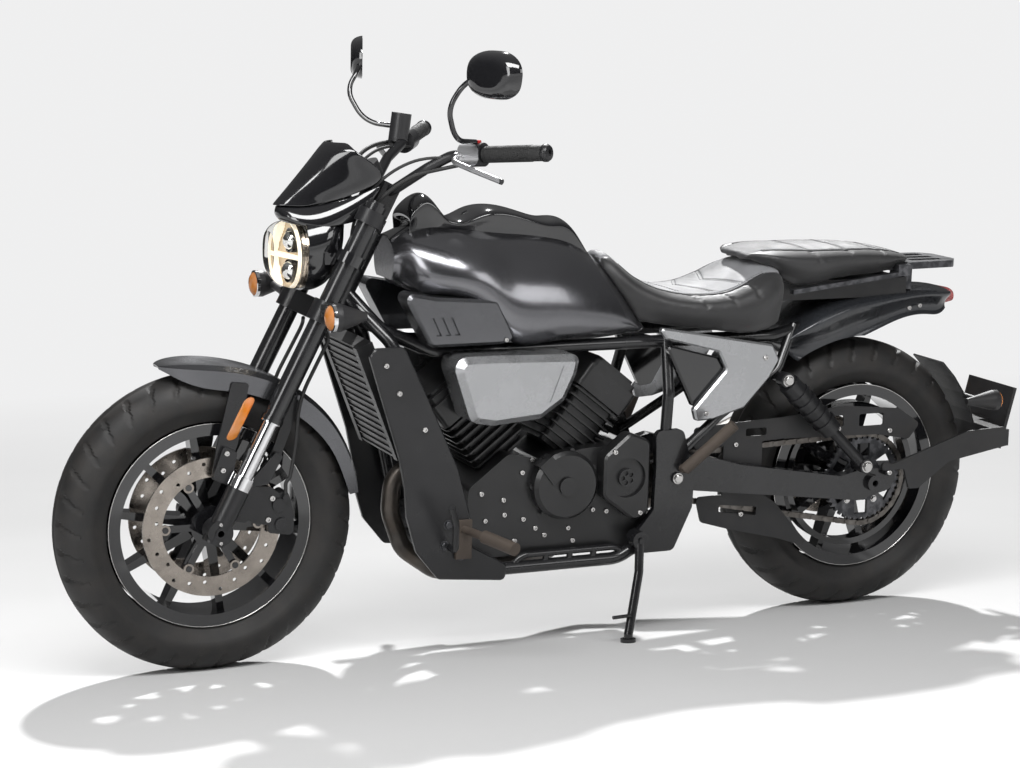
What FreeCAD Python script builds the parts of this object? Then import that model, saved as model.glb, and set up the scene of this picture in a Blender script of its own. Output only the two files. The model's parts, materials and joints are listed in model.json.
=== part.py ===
import FreeCAD, Part
import math
import os

V = FreeCAD.Vector
os.makedirs("parts", exist_ok=True)

# Bike frame: +X forward, +Y to the rider's left, +Z up, origin on the floor between the axles.
# Everything is drawn with the bike upright, then leaned onto its side stand at the end.
# Names ending in back, ahead, drop or rise give a place from the piece that carries it.

# Stance
wheelbase = 1558.0
lean_angle = 6.5
rake_angle = 27.0
fork_offset = 50.0
clearance = 0.3
running_gap = 6.0
overrun = 40.0

# Front wheel
front_tyre_radius = 318.7
front_tyre_half_width = 66.0
front_rim_radius = 216.5
front_rim_half_width = 50.0
spoke_count = 10
front_spoke_turn = 9.0
front_disc_radius = 147.5
front_disc_inner = 106.0
front_disc_y = 57.0
disc_thickness = 5.0
disc_hole_count = 24
disc_hole_radius = 4.0
front_hub_radius = 36.0
front_axle_radius = 11.0
front_axle_bore = 7.0

# Disc carriers
carrier_arm_count = 6
carrier_arm_width = 15.0
carrier_thickness = 5.0
bobbin_radius = 6.5
bobbin_proud = 1.5

# Rear wheel
rear_tyre_radius = 318.8
rear_tyre_half_width = 76.0
rear_rim_radius = 216.5
rear_rim_half_width = 60.0
rear_hub_radius = 46.0
rear_axle_radius = 12.0
rear_axle_bore = 7.5
rear_ring_radius = 165.0
rear_ring_wall = 14.0
rear_ring_low = 8.0
rear_ring_high = 42.0
rear_disc_radius = 120.0
rear_disc_inner = 84.0
rear_disc_y = 82.0

# Rims and tyres
rim_wall = 7.0
rim_flange_height = 18.0
rim_flange_width = 5.0
spoke_width = 15.0
spoke_depth = 34.0
sidewall_bulge = 3.0
shoulder_angle = 74.0

# Chain and sprockets
sprocket_teeth = 42
drive_sprocket_teeth = 16
drive_sprocket_x = -197.0
drive_sprocket_z = 366.0
chain_pitch = 15.875
chain_y = 92.0
roller_radius = 5.0
roller_half_width = 5.0
link_thickness = 1.5
link_half_height = 6.0
sprocket_thickness = 7.5
sprocket_window_count = 6
sprocket_window_width = 34.0
sprocket_rim = 22.0
tooth_gap = 0.5
tooth_height = 6.0
tooth_tip_rise = 1.5

# Fork, measured along the steering axis (up) and square to it (ahead)
fork_spacing = 100.3
fork_tube_radius = 21.5
stanchion_radius = 17.5
slider_radius = 24.0
slider_top = 125.0
slider_foot = 26.0
axle_clamp_radius = 27.0
seal_height = 248.0
seal_collar = 14.0
fork_cap_rise = 15.0
fork_button_rise = 6.0
lower_clamp_height = 500.0
lower_clamp_thickness = 44.0
upper_clamp_height = 718.0
upper_clamp_thickness = 30.0
clamp_boss_wall = 9.0
stem_radius = 14.0
head_tube_radius = 29.0
stay_thickness = 5.0
stay_length = 210.0
stay_low = 92.0
lug_thickness = 10.0
lug_width = 60.0

# Handlebar
bar_radius = 11.0
bar_bend = 45.0
riser_ahead = 18.0
riser_side = 40.0
riser_length = 40.0
riser_width = 28.0
riser_height = 53.0
bar_clamp_side = 52.0
bar_knee_back = 74.5
bar_knee_side = 118.0
bar_knee_rise = 126.0
bar_end_back = 243.5
bar_end_side = 333.0
bar_end_rise = 172.8
grip_radius = 16.5
grip_length = 125.0
grip_sweep = 85.0
grip_droop = 13.0
grip_end_proud = 4.0

# Hand controls
switch_length = 48.0
switch_wall = 8.0
lever_radius = 6.0
lever_bend = 60.0
lever_reach = 52.0
lever_droop = 44.0
perch_radius = 11.0
reservoir_radius = 22.0
reservoir_height = 62.0
reservoir_ahead = 24.0
reservoir_inset = 16.0

# Mirrors
mirror_width = 150.0
mirror_height = 96.0
mirror_depth = 26.0
mirror_turn = 20.0
mirror_back = 110.0
mirror_side = 378.0
mirror_rise = 330.0
mirror_stem_radius = 5.5

# Headlamp, screen and gauge
lamp_ahead = 169.5
lamp_drop = 62.0
lamp_height = 146.0
lamp_width = 158.0
lamp_depth = 62.0
lens_lip = 4.0
nacelle_length = 86.0
ear_wall = 8.0
ear_height = 24.0
ear_width = 18.0
screen_thickness = 4.0
screen_height = 131.0
screen_foot_ahead = 224.5
screen_foot_rise = 43.0
screen_slope = 115.0
screen_half_width = 92.0
screen_depth = 164.0
screen_post_radius = 6.0
screen_post_side = 40.0
gauge_radius = 40.0
gauge_depth = 28.0
gauge_ahead = 18.0
gauge_rise = 94.0
gauge_neck_radius = 9.0

# Front signals
signal_radius = 29.0
signal_length = 72.0
signal_side = 252.0
signal_ahead = 36.0
signal_rise = 14.0
signal_foot_width = 38.0
signal_foot_height = 26.0
signal_foot_depth = 6.0

# Front mudguard, measured round the wheel's axle
guard_radius = 337.0
guard_sheet = 4.0
guard_half_width = 75.0
guard_skirt = 48.0
guard_tip_rise = 15.0
guard_tail_drop = 7.0
guard_front_angle = 73.0
guard_rear_angle = 171.0

# Front brake
caliper_inner = 116.0
caliper_outer = 172.0
caliper_half_width = 20.0
caliper_angle = 172.0
caliper_span = 34.0
caliper_corner = 10.0
caliper_slot = 15.0
piston_radius = 14.0
piston_proud = 5.0
ear_boss_radius = 9.0
hose_radius = 4.0

# Frame
frame_tube_radius = 14.0
neck_back = 8.0
neck_rise = 40.0
neck_half_width = 12.0
spar_y = 90.0
spar_gap = 2.0
spar_rear_x = -520.0
spar_tip_x = -600.0
knee_back = 76.0
knee_drop = 103.5
knee_y = 92.0
rail_y = 142.0
rail_z = 196.0
rail_front_x = 270.0
rail_rear_x = -120.0
rail_tip_x = -200.0
rail_tip_rise = 40.0
step_rail_radius = 7.0
step_rail_rise = 26.0
strut_count = 3
frame_bend = 90.0
pivot_x = -255.0
pivot_z = 371.0
pivot_radius = 12.0
pivot_plate_thickness = 16.0
pivot_plate_low = 206.0
pivot_plate_height = 274.0
pivot_plate_rear = -300.0
pivot_plate_length = 160.0
shock_top_x = -527.0
shock_top_z = 576.0
shock_boss_radius = 12.0
engine_bracket_thickness = 9.0
engine_bracket_height = 66.0
engine_bracket_length = 76.0
mount_boss_radius = 12.0

# Frame covers and radiator
cover_gap = 2.0
cover_thickness = 12.0
cover_bevel = 3.0
cover_low_x = 246.0
cover_low_z = 177.0
cover_length = 230.0
cover_height = 519.0
cover_recess = 4.0
cover_boss_radius = 10.0
radiator_height = 262.0
radiator_width = 236.0
radiator_depth = 34.0
radiator_foot_x = 388.0
radiator_foot_z = 446.0
radiator_lean = 21.4
radiator_tank_width = 22.0
radiator_tank_proud = 4.0
slat_count = 16
slat_thickness = 2.5
slat_proud = 3.0
radiator_hanger_share = 0.45

# Engine
crank_x = 60.0
crank_z = 345.0
case_half_width = 122.0
case_length = 460.0
case_height = 236.0
case_rear_x = -222.0
case_floor_z = 213.0
case_corner = 20.0
cylinder_angle = 38.0
cylinder_width = 176.0
cylinder_breadth = 140.0
cylinder_length = 145.0
cylinder_base = 105.0
cylinder_corner = 12.0
fin_count = 8
fin_thickness = 4.0
fin_reach = 13.0
head_length = 80.0
rocker_height = 24.0
rocker_inset = 16.0
generator_x = 9.0
generator_z = 370.0
generator_radius = 76.0
generator_depth = 30.0
generator_bevel = 8.0
flange_depth = 14.0
flange_bolt_radius = 6.0
centre_cap_radius = 20.0
centre_cap_depth = 6.0
chute_width = 36.0
chute_length = 54.0
chute_proud = 5.0
sprocket_cover_front = -76.0
sprocket_cover_length = 112.0
sprocket_cover_low = 280.0
sprocket_cover_height = 200.0
sprocket_cover_depth = 38.0
sprocket_cover_bevel = 5.0
sprocket_pocket_radius = 44.0
sprocket_pocket_depth = 8.0
sprocket_vent_radius = 20.0
vent_hole_radius = 5.0
vent_hole_count = 5
clutch_x = 40.0
clutch_z = 335.0
clutch_radius = 92.0
clutch_depth = 40.0
oil_cover_x = -60.0
oil_cover_z = 330.0
oil_cover_radius = 62.0
oil_cover_depth = 24.0

# Intake covers
intake_rear_x = 5.0
intake_low_z = 523.0
intake_length = 298.0
intake_height = 150.0
intake_inner_y = 108.0
intake_outer_y = 202.0
intake_bevel = 14.0
intake_corner = 26.0
intake_groove = 2.0
intake_boss_radius = 14.0

# Exhaust
header_radius = 20.0
header_bend = 70.0
header_y = 48.0
silencer_radius = 54.0
silencer_length = 486.0
silencer_wall = 8.0
silencer_bore = 34.0
silencer_cone = 54.0
silencer_x = -290.4
silencer_y = -217.2
silencer_z = 232.2
silencer_end_x = -760.0
silencer_end_y = -232.0
silencer_end_z = 410.0

# Tank
tank_setback = 88.2
tank_rear_x = -206.0
tank_floor_z = 684.0
tank_height = 252.0
tank_half_width = 152.0
spar_clearance = 1.7
scoop_back = 245.0
scoop_length = 262.0
scoop_height = 122.0
scoop_rise = 6.0
scoop_inner_y = 96.0
scoop_outer_y = 158.0
scoop_bevel = 7.0
scoop_slot_depth = 6.0

# Seats
seat_front_lap = 102.0
seat_length = 426.0
seat_height = 168.0
seat_half_width = 156.0
pillion_front_x = -462.0
pillion_length = 428.0
pillion_base_z = 790.0
pillion_height = 77.0
pillion_half_width = 122.0

# Tail, rack and rear lamp
tail_front_x = -562.0
tail_length = 454.0
tail_base_z = 604.0
tail_height = 156.0
tail_half_width = 104.0
tail_arch_gap = 16.0
seat_base_half_width = 84.0
seat_base_low_z = 745.0
seat_base_high_z = 788.0
seat_base_front_x = -545.0
seat_base_rear_x = -880.0
rack_front_x = -822.0
rack_length = 214.0
rack_half_width = 92.0
rack_z = 806.0
rack_thickness = 16.0
rack_corner = 16.0
rack_slot_width = 22.0
rack_foot_side = 60.0
rack_foot_length = 25.0
rack_foot_width = 16.0
rail_bar_height = 10.0
rail_bar_width = 16.0
rail_bar_y = 106.0
rail_bar_front_x = -560.0
rail_bar_front_z = 768.0
tail_lamp_depth = 30.0
tail_lamp_height = 46.0
tail_lamp_half_width = 44.0

# Side covers
side_cover_rear_x = -507.0
side_cover_low_z = 495.0
side_cover_length = 308.0
side_cover_height = 215.0
side_cover_inner_y = 141.0
side_cover_outer_y = 156.0
side_cover_bevel = 4.0
panel_rear_x = -376.0
panel_low_z = 525.0
panel_length = 150.0
panel_height = 144.0
panel_inner_y = 124.0
panel_outer_y = 140.0
panel_bevel = 4.0

# Swingarm and shocks
swingarm_y = 126.0
swingarm_width = 30.0
swingarm_height = 52.0
axle_nut_radius = 19.0
axle_nut_depth = 12.0
shock_foot_ahead = 39.0
shock_foot_rise = 47.0
shock_rod_radius = 13.0
shock_body_radius = 25.0
shock_eye_radius = 17.0
shock_eye_half_width = 14.0
spring_ring_count = 5
spring_ring_radius = 28.0
shock_lug_radius = 18.0

# Chain guards
guard_plate_y = 103.0
guard_plate_thickness = 4.0
upper_guard_length = 600.0
upper_guard_height = 111.0
lower_guard_drop = 152.0
lower_guard_length = 307.0
lower_guard_height = 143.0
guard_tab_length = 100.0
guard_tab_height = 70.0
guard_boss_radius = 7.0

# Plate holder and rear mudguard
holder_thickness = 7.0
holder_gap = 12.0
holder_length = 375.0
holder_height = 141.0
holder_rear_back = 361.0
holder_drop = 27.0
holder_boss_back = 33.0
holder_boss_rise = 25.0
holder_boss_radius = 9.0
flap_radius = 344.0
flap_thickness = 4.0
flap_half_width = 62.0
flap_front_angle = 132.0
flap_rear_angle = 165.0
rear_signal_side = 128.0
rear_signal_radius = 24.0
rear_signal_length = 84.0

# Foot controls
peg_x = 262.0
peg_z = 300.0
peg_inner_y = 264.0
peg_outer_y = 352.0
peg_sweep = 32.0
peg_radius = 14.0
peg_bar_radius = 9.0
peg_foot_length = 36.0
peg_foot_height = 84.0
peg_foot_depth = 9.0
rear_peg_length = 84.0
rear_peg_rise = 108.0
rear_peg_radius = 13.0
lever_rod_radius = 7.0
lever_root_x = 292.0
lever_root_z = 262.0
pedal_length = 66.0
pedal_width = 40.0
pedal_thickness = 8.0

# Rear brake
rear_caliper_angle = 22.0
rear_caliper_span = 40.0
rear_caliper_inner = 96.0
rear_caliper_outer = 142.0
rear_caliper_half_width = 18.0

# Side stand
stand_x = -163.0
stand_y = 168.0
stand_z = 240.0
stand_hub_radius = 20.0
stand_hub_width = 18.0
stand_pin_radius = 7.0
stand_foot_x = -118.0
stand_foot_y = 216.0
stand_tube_radius = 10.0
stand_foot_radius = 17.0
stand_foot_thickness = 8.0
stand_ankle = 16.0
stand_prong_length = 46.0
stand_prong_radius = 4.0

# More places of the frame, hoses, headers and controls
hose_ahead = 26.0
hose_side = 60.0
banjo_radius = 7.0
spar_turn_back = 60.0
spar_turn_side = 60.0
spar_turn_rise = 50.0
spar_level_back = 170.0
spar_tip_inset = 14.0
down_tube_x = 352.0
down_tube_y = 132.0
down_tube_z = 520.0
down_foot_x = 300.0
down_foot_z = 300.0
rail_bend = 80.0
post_foot_ahead = 25.0
post_foot_rise = 69.0
post_knee_ahead = 15.0
post_knee_inset = 8.0
post_knee_rise = 189.0
post_head_ahead = 5.0
post_head_outset = 4.0
post_bend = 60.0
stay_foot_back = 7.0
stay_foot_outset = 4.0
stay_foot_rise = 49.0
stay_knee_back = 125.0
stay_knee_inset = 22.0
stay_knee_rise = 129.0
stay_shock_y = 112.0
stay_shock_rise = 16.0
stay_tip_ahead = 16.0
stay_tip_inset = 10.0
stay_tip_rise = 20.0
step_rail_front_x = 110.0
rear_mount_x = -205.0
rear_mount_z = 245.0
hanger_reach = 60.0
hanger_width = 6.0
hanger_height = 30.0
pivot_axle_proud = 8.0
port_run = 34.0
header_x = 382.0
header_turn_back = 56.0
header_top_z = 424.0
header_bow_back = 6.0
header_bow_z = 392.0
header_middle_z = 320.0
header_knee_back = 30.0
header_knee_z = 235.0
header_foot_back = 112.0
header_foot_inset = 8.0
header_foot_z = 176.0
header_wall = 2.0
under_front_x = 100.0
under_front_y = -20.0
under_front_z = 157.0
under_rear_x = -80.0
under_rear_y = -130.0
under_rear_z = 150.0
silencer_run = 100.4
silencer_inset = 11.2
silencer_drop = 50.2
recess_ahead = 52.0
recess_drop = 80.0
recess_y = 76.0
rocker_step = 8.0
flange_bolt_count = 7
vent_ring_radius = 11.0
scoop_slot_count = 3
scoop_slot_pitch = 21.0
seat_floor_gap = 0.5
arch_side_gap = 10.0
tail_lamp_rise = 104.0
tail_lamp_taper = 6.0
rack_slot_pitch = 42.0
rack_slot_front = 90.0
rack_slot_rear = 178.0
rack_foot_low_z = 757.0
shock_foot_y = 160.0
shock_top_y = 150.0
pivot_sleeve_radius = 16.5
brace_back = 125.0
brace_height = 30.0
guard_corner = 10.0
guard_tab_back = 145.0
guard_boss_back = 20.0
upper_guard_back = 145.0
upper_guard_rise = 67.0
lower_guard_back = 384.0
lower_tab_height = 46.0
lower_boss_drop = 36.0
rear_caliper_boss_radius = 118.0
holder_cross_depth = 34.0
holder_cross_drop = 46.0
board_back = 44.0
board_rise = 4.0
board_thickness = 8.0
board_width = 184.0
board_height = 150.0
board_lean = 14.0
rear_signal_angle = 150.0
peg_elbow_back = 10.0
peg_tip_drop = 4.0
peg_foot_rise = 20.0
rear_peg_back = 13.0
rear_peg_foot_rise = 21.0
rear_peg_outset = 64.0
lever_outset = 35.0
lever_knee_ahead = 14.0
lever_knee_rise = 68.0
lever_tip_ahead = 34.0
lever_tip_outset = 57.0
lever_tip_rise = 110.0
stand_knee_ahead = 8.0
stand_knee_drop = 70.0
stand_bend = 40.0
stand_pin_proud = 4.0
stand_prong_rise = 60.0

rake = math.radians(rake_angle)
lean = math.radians(lean_angle)
bank_tilt = math.radians(cylinder_angle)
bend_run_share = 0.45
section_shares = [0, 0.22, 0.4, 0.5, 0.6, 0.78, 1]
banjo_share = 0.36


def axle_height(tyre_radius, crown):
    """Height of a leaned wheel's centre above the floor, measured along the leaned wheel."""
    return tyre_radius - crown + crown / math.cos(lean)


front_axle_x = wheelbase / 2
rear_axle_x = -wheelbase / 2
front_axle_z = axle_height(front_tyre_radius, front_tyre_half_width)
rear_axle_z = axle_height(rear_tyre_radius, rear_tyre_half_width)
steer_x = front_axle_x - fork_offset * math.cos(rake)
steer_z = front_axle_z - fork_offset * math.sin(rake)
fork_cap_height = upper_clamp_height + upper_clamp_thickness / 2 + fork_cap_rise
bar_height = upper_clamp_height + upper_clamp_thickness / 2 + riser_height


def fork_point(ahead, side, up):
    """A point given square to and along the steering axis, in the bike frame."""
    x = steer_x + ahead * math.cos(rake) - up * math.sin(rake)
    z = steer_z + ahead * math.sin(rake) + up * math.cos(rake)
    return V(x, side, z)


def fork_place(shape):
    """Turn a shape drawn along the steering axis to where the fork stands."""
    placed = shape.copy()
    placed.rotate(V(0, 0, 0), V(0, 1, 0), -rake_angle)
    placed.translate(V(steer_x, 0, steer_z))
    return placed


head_point = fork_point(0, 0, upper_clamp_height)
lower_boss_point = fork_point(fork_offset, fork_spacing, lower_clamp_height)
neck = fork_point(-neck_back, 0, lower_clamp_height + lower_clamp_thickness / 2 + neck_rise)
tank_front_x = neck.x - tank_setback
tank_length = tank_front_x - tank_rear_x
lamp_x = head_point.x + lamp_ahead
lamp_z = head_point.z - lamp_drop
front_hub_half = front_disc_y - disc_thickness / 2
rear_hub_half = rear_disc_y - disc_thickness / 2
sprocket_pitch_radius = chain_pitch / (2 * math.sin(math.pi / sprocket_teeth))
drive_pitch_radius = chain_pitch / (2 * math.sin(math.pi / drive_sprocket_teeth))
swingarm_inner = swingarm_y - swingarm_width / 2
swingarm_outer = swingarm_y + swingarm_width / 2
frame_side = rail_y + frame_tube_radius
cover_inner_y = frame_side + cover_gap
cover_outer_y = cover_inner_y + cover_thickness
banjo_angle = math.radians(caliper_angle - caliper_span * banjo_share)
banjo_reach = caliper_outer - caliper_corner
banjo_middle = V(front_axle_x + banjo_reach * math.cos(banjo_angle),
                 front_disc_y + caliper_half_width + ear_boss_radius / 2,
                 front_axle_z + banjo_reach * math.sin(banjo_angle))


def mirrored(shape):
    return shape.mirror(V(0, 0, 0), V(0, 1, 0))


def both(shape):
    return [shape, mirrored(shape)]


def fuse(shapes):
    whole = shapes[0]
    if len(shapes) > 1:
        whole = whole.fuse(shapes[1:])
    return whole.removeSplitter()


def at(shape, x, y, z):
    placed = shape.copy()
    placed.translate(V(x, y, z))
    return placed


def largest(shape):
    """The main solid, without the slivers that a cut leaves beside it."""
    return max(shape.Solids, key=lambda solid: solid.Volume)


def cylinder(start, end, radius):
    run = end - start
    return Part.makeCylinder(radius, run.Length, start, run)


def cone(start, end, radius_start, radius_end):
    run = end - start
    return Part.makeCone(radius_start, radius_end, run.Length, start, run)


def across(x, z, y_low, y_high, radius):
    """A round bar or boss lying across the bike."""
    return cylinder(V(x, y_low, z), V(x, y_high, z), radius)


def tube(start, end, radius, bore):
    return cylinder(start, end, radius).cut(cylinder(start, end, bore))


def box(x_low, x_high, y_low, y_high, z_low, z_high):
    return Part.makeBox(x_high - x_low, y_high - y_low, z_high - z_low, V(x_low, y_low, z_low))


def rounded_edges(points, corner, closed):
    """Straight runs joined by tangent arcs; an arc takes up to 0.45 of its shorter run."""
    run_share = 0.45
    count = len(points)
    starts = list(points)
    ends = list(points)
    arcs = [None] * count
    for i in range(count):
        if not closed and i in (0, count - 1):
            continue
        here = points[i]
        way_in = here - points[i - 1]
        way_out = points[(i + 1) % count] - here
        turn = way_in.getAngle(way_out)
        if turn < math.radians(1):
            continue
        shorter = min(way_in.Length, way_out.Length)
        way_in.normalize()
        way_out.normalize()
        radius = run_share * shorter / math.tan(turn / 2)
        if corner:
            radius = min(radius, corner)
        reach = radius * math.tan(turn / 2)
        inward = way_out - way_in
        inward.normalize()
        middle = here + inward * (radius / math.cos(turn / 2) - radius)
        starts[i] = here - way_in * reach
        ends[i] = here + way_out * reach
        arcs[i] = Part.Arc(starts[i], middle, ends[i]).toShape()
    edges = []
    last = count if closed else count - 1
    for i in range(last):
        if arcs[i]:
            edges.append(arcs[i])
        following = (i + 1) % count
        if (starts[following] - ends[i]).Length > clearance / 100:
            edges.append(Part.LineSegment(ends[i], starts[following]).toShape())
    return edges


def bend_radius(before, corner, after):
    run = min((before - corner).Length, (after - corner).Length)
    turn = (corner - before).getAngle(after - corner)
    return bend_run_share * run / math.tan(turn / 2)


def pipe(points, radius, bend=0.0):
    """A round bar along straight runs joined by tangent arcs."""
    path = Part.Wire(rounded_edges(points, bend, False))
    profile = Part.Wire(Part.Circle(points[0], points[1] - points[0], radius).toShape())
    return path.makePipeShell([profile], True, False)


def plate(outline, y_low, y_high, corner):
    """A flat plate whose outline is seen from the side."""
    points = [V(x, y_low, z) for x, z in outline]
    face = Part.Face(Part.Wire(rounded_edges(points, corner, True)))
    return face.extrude(V(0, y_high - y_low, 0))


def bevelled(outline, y_low, y_high, corner, bevel):
    """A side plate whose outer edge is chamfered all round."""
    solid = plate(outline, y_low, y_high, corner)
    outer = []
    for edge in solid.Edges:
        if all(abs(vertex.Y - y_high) < bevel / 100 for vertex in edge.Vertexes):
            outer.append(edge)
    return solid.makeChamfer(bevel, outer)


def slab(length, breadth, z_low, z_high, corner):
    """A level slab centred on the Z axis, with rounded corners."""
    points = [V(x * length / 2, y * breadth / 2, z_low) for x, y in ((-1, -1), (1, -1), (1, 1), (-1, 1))]
    face = Part.Face(Part.Wire(rounded_edges(points, corner, True)))
    return face.extrude(V(0, 0, z_high - z_low))


def outline_in(x_low, z_low, length, height, shares):
    """Outline points from shares of a length and a height."""
    return [(x_low + length * along, z_low + height * up) for along, up in shares]


def polygon_edges(points):
    edges = []
    for i, point in enumerate(points):
        edges.append(Part.LineSegment(point, points[(i + 1) % len(points)]).toShape())
    return edges


def revolve_y(edges):
    """A solid turned about the Y axis from edges drawn as radius and Y."""
    face = Part.Face(Part.Wire(edges))
    return face.revolve(V(0, 0, 0), V(0, 1, 0), 360)


def turned(profile, start, towards):
    """A solid turned about the line from start, from pairs of distance along it and radius."""
    edges = polygon_edges([V(radius, 0, along) for along, radius in profile])
    solid = Part.Face(Part.Wire(edges)).revolve(V(0, 0, 0), V(0, 0, 1), 360)
    spin = FreeCAD.Rotation(V(0, 0, 1), towards - start)
    solid.Placement = FreeCAD.Placement(start, spin).multiply(solid.Placement)
    return solid


def ring_places(count, radius, first_share=0.0):
    """Evenly spaced (x, z) places round a centre."""
    places = []
    for i in range(count):
        angle = 2 * math.pi * (i + first_share) / count
        places.append((radius * math.cos(angle), radius * math.sin(angle)))
    return places


def polar(radius, degrees):
    angle = math.radians(degrees)
    return radius * math.cos(angle), radius * math.sin(angle)


def closed_curve(points):
    curve = Part.BSplineCurve()
    curve.interpolate(points, PeriodicFlag=True)
    return Part.Wire(curve.toShape())


def body_section(x, z_low, z_high, half_low, half_wide, wide_share, half_top):
    """A symmetric cross-section: flat underneath, widest at a share of its height."""
    shoulder_share = 0.8
    wide_z = z_low + (z_high - z_low) * wide_share
    shoulder_z = z_low + (z_high - z_low) * (wide_share + (1 - wide_share) * shoulder_share)
    right = [(half_low, z_low), (half_wide, wide_z), (half_top, shoulder_z)]
    points = [V(x, y, z) for y, z in right] + [V(x, 0, z_high)]
    points += [V(x, -y, z) for y, z in reversed(right)]
    top = Part.BSplineCurve()
    top.interpolate(points, Parameters=section_shares)
    return Part.Wire([top.toShape(), Part.LineSegment(points[-1], points[0]).toShape()])


def oval(x, half_width, z_low, z_high):
    """A rounded-square ring across the bike."""
    point_count = 12
    squareness_share = 0.8
    middle = (z_low + z_high) / 2
    half_height = (z_high - z_low) / 2
    points = []
    for i in range(point_count):
        angle = 2 * math.pi * i / point_count
        along, up = math.cos(angle), math.sin(angle)
        y = half_width * math.copysign(abs(along) ** squareness_share, along)
        z = half_height * math.copysign(abs(up) ** squareness_share, up)
        points.append(V(x, y, middle + z))
    return closed_curve(points)


def loft(sections):
    solid = Part.makeLoft(sections, True, False)
    if solid.Volume < 0:
        solid.reverse()
    return solid


# Wheels

def tyre(radius, half_width, rim_radius, rim_half_width):
    """Round crown, bulging sidewalls and beads that sit inside the rim's flanges."""
    ring = radius - half_width
    shoulder = math.radians(shoulder_angle)
    shoulder_r = ring + half_width * math.cos(shoulder)
    shoulder_y = half_width * math.sin(shoulder)
    bead_y = rim_half_width - rim_flange_width - clearance
    bead_r = rim_radius + clearance
    seat_r = rim_radius - rim_flange_height + clearance
    side_r = (shoulder_r + bead_r) / 2
    side_y = (shoulder_y + rim_half_width) / 2 + sidewall_bulge

    def side(sign):
        return [V(shoulder_r, sign * shoulder_y, 0), V(side_r, sign * side_y, 0),
                V(bead_r, sign * rim_half_width, 0)]

    left, right = side(1), side(-1)
    inner = [left[2], V(bead_r, bead_y, 0), V(seat_r, bead_y, 0), V(seat_r, -bead_y, 0),
             V(bead_r, -bead_y, 0), right[2]]
    edges = [Part.Arc(right[0], V(radius, 0, 0), left[0]).toShape(), Part.Arc(*left).toShape()]
    for start, end in zip(inner, inner[1:]):
        edges.append(Part.LineSegment(start, end).toShape())
    edges.append(Part.Arc(right[2], right[1], right[0]).toShape())
    return revolve_y(edges)


def spoke(turn, hub_radius, rim_inner):
    """One thin cast spoke, wider at the hub and sunk into the hub and the rim."""
    foot_share = 1.5
    root = hub_radius - rim_wall

    def end(r, width, depth):
        corners = [V(r, depth / 2, width / 2), V(r, -depth / 2, width / 2),
                   V(r, -depth / 2, -width / 2), V(r, depth / 2, -width / 2)]
        return Part.Wire(polygon_edges(corners))

    blade = Part.makeLoft([end(root, spoke_width * foot_share, spoke_depth * foot_share),
                           end(rim_inner + rim_wall / 2, spoke_width, spoke_depth)], True, True)
    blade.rotate(V(0, 0, 0), V(0, 1, 0), -turn)
    return blade


def rim(rim_radius, half_width, hub_radius, hub_half, turn):
    """The barrel with its two flanges, the hub and the spokes between them."""
    seat = rim_radius - rim_flange_height
    inner = seat - rim_wall
    lip = half_width - rim_flange_width
    profile = [V(rim_radius, half_width, 0), V(rim_radius, lip, 0), V(seat, lip, 0), V(seat, -lip, 0),
               V(rim_radius, -lip, 0), V(rim_radius, -half_width, 0), V(inner, -half_width, 0),
               V(inner, half_width, 0)]
    barrel = revolve_y(polygon_edges(profile))
    hub = across(0, 0, -hub_half, hub_half, hub_radius)
    spokes = [spoke(turn + i * 360 / spoke_count, hub_radius, inner) for i in range(spoke_count)]
    return [barrel, hub] + spokes


def bobbin_ring(inner):
    return inner - bobbin_radius


def brake_disc(radius, inner, y):
    """A floating disc: a drilled ring with an eye for each of the carrier's bobbins."""
    y_low, y_high = y - disc_thickness / 2, y + disc_thickness / 2
    eye_share = 1.7
    ring = across(0, 0, y_low, y_high, radius).cut(across(0, 0, y_low, y_high, inner))
    eyes = [across(x, z, y_low, y_high, bobbin_radius * eye_share)
            for x, z in ring_places(carrier_arm_count, bobbin_ring(inner))]
    holes = [across(x, z, y_low - overrun, y_high + overrun, bobbin_radius + clearance)
             for x, z in ring_places(carrier_arm_count, bobbin_ring(inner))]
    middle = (radius + inner) / 2
    spread = (radius - inner) / 5
    for i, (x, z) in enumerate(ring_places(disc_hole_count, 1.0, 1 / 2)):
        r = middle + spread * (i % 3 - 1)
        holes.append(across(r * x, r * z, y_low - overrun, y_high + overrun, disc_hole_radius))
    return fuse([ring] + eyes).cut(holes)


def disc_carrier(inner, y, hub_radius):
    """Arms and bobbins that hold a floating disc from just inboard of it."""
    eye_share = 1.4
    outer_y = y - disc_thickness / 2 - clearance
    inner_y = outer_y - carrier_thickness
    pieces = [across(0, 0, inner_y, outer_y, hub_radius + carrier_arm_width / 2)]
    for i, (x, z) in enumerate(ring_places(carrier_arm_count, bobbin_ring(inner))):
        arm = box(hub_radius, bobbin_ring(inner), inner_y, outer_y, -carrier_arm_width / 2,
                  carrier_arm_width / 2)
        arm.rotate(V(0, 0, 0), V(0, 1, 0), -i * 360 / carrier_arm_count)
        pieces.append(arm)
        pieces.append(across(x, z, inner_y, outer_y, bobbin_radius * eye_share))
        pieces.append(across(x, z, inner_y, y + disc_thickness / 2 + bobbin_proud, bobbin_radius))
    return pieces


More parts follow.
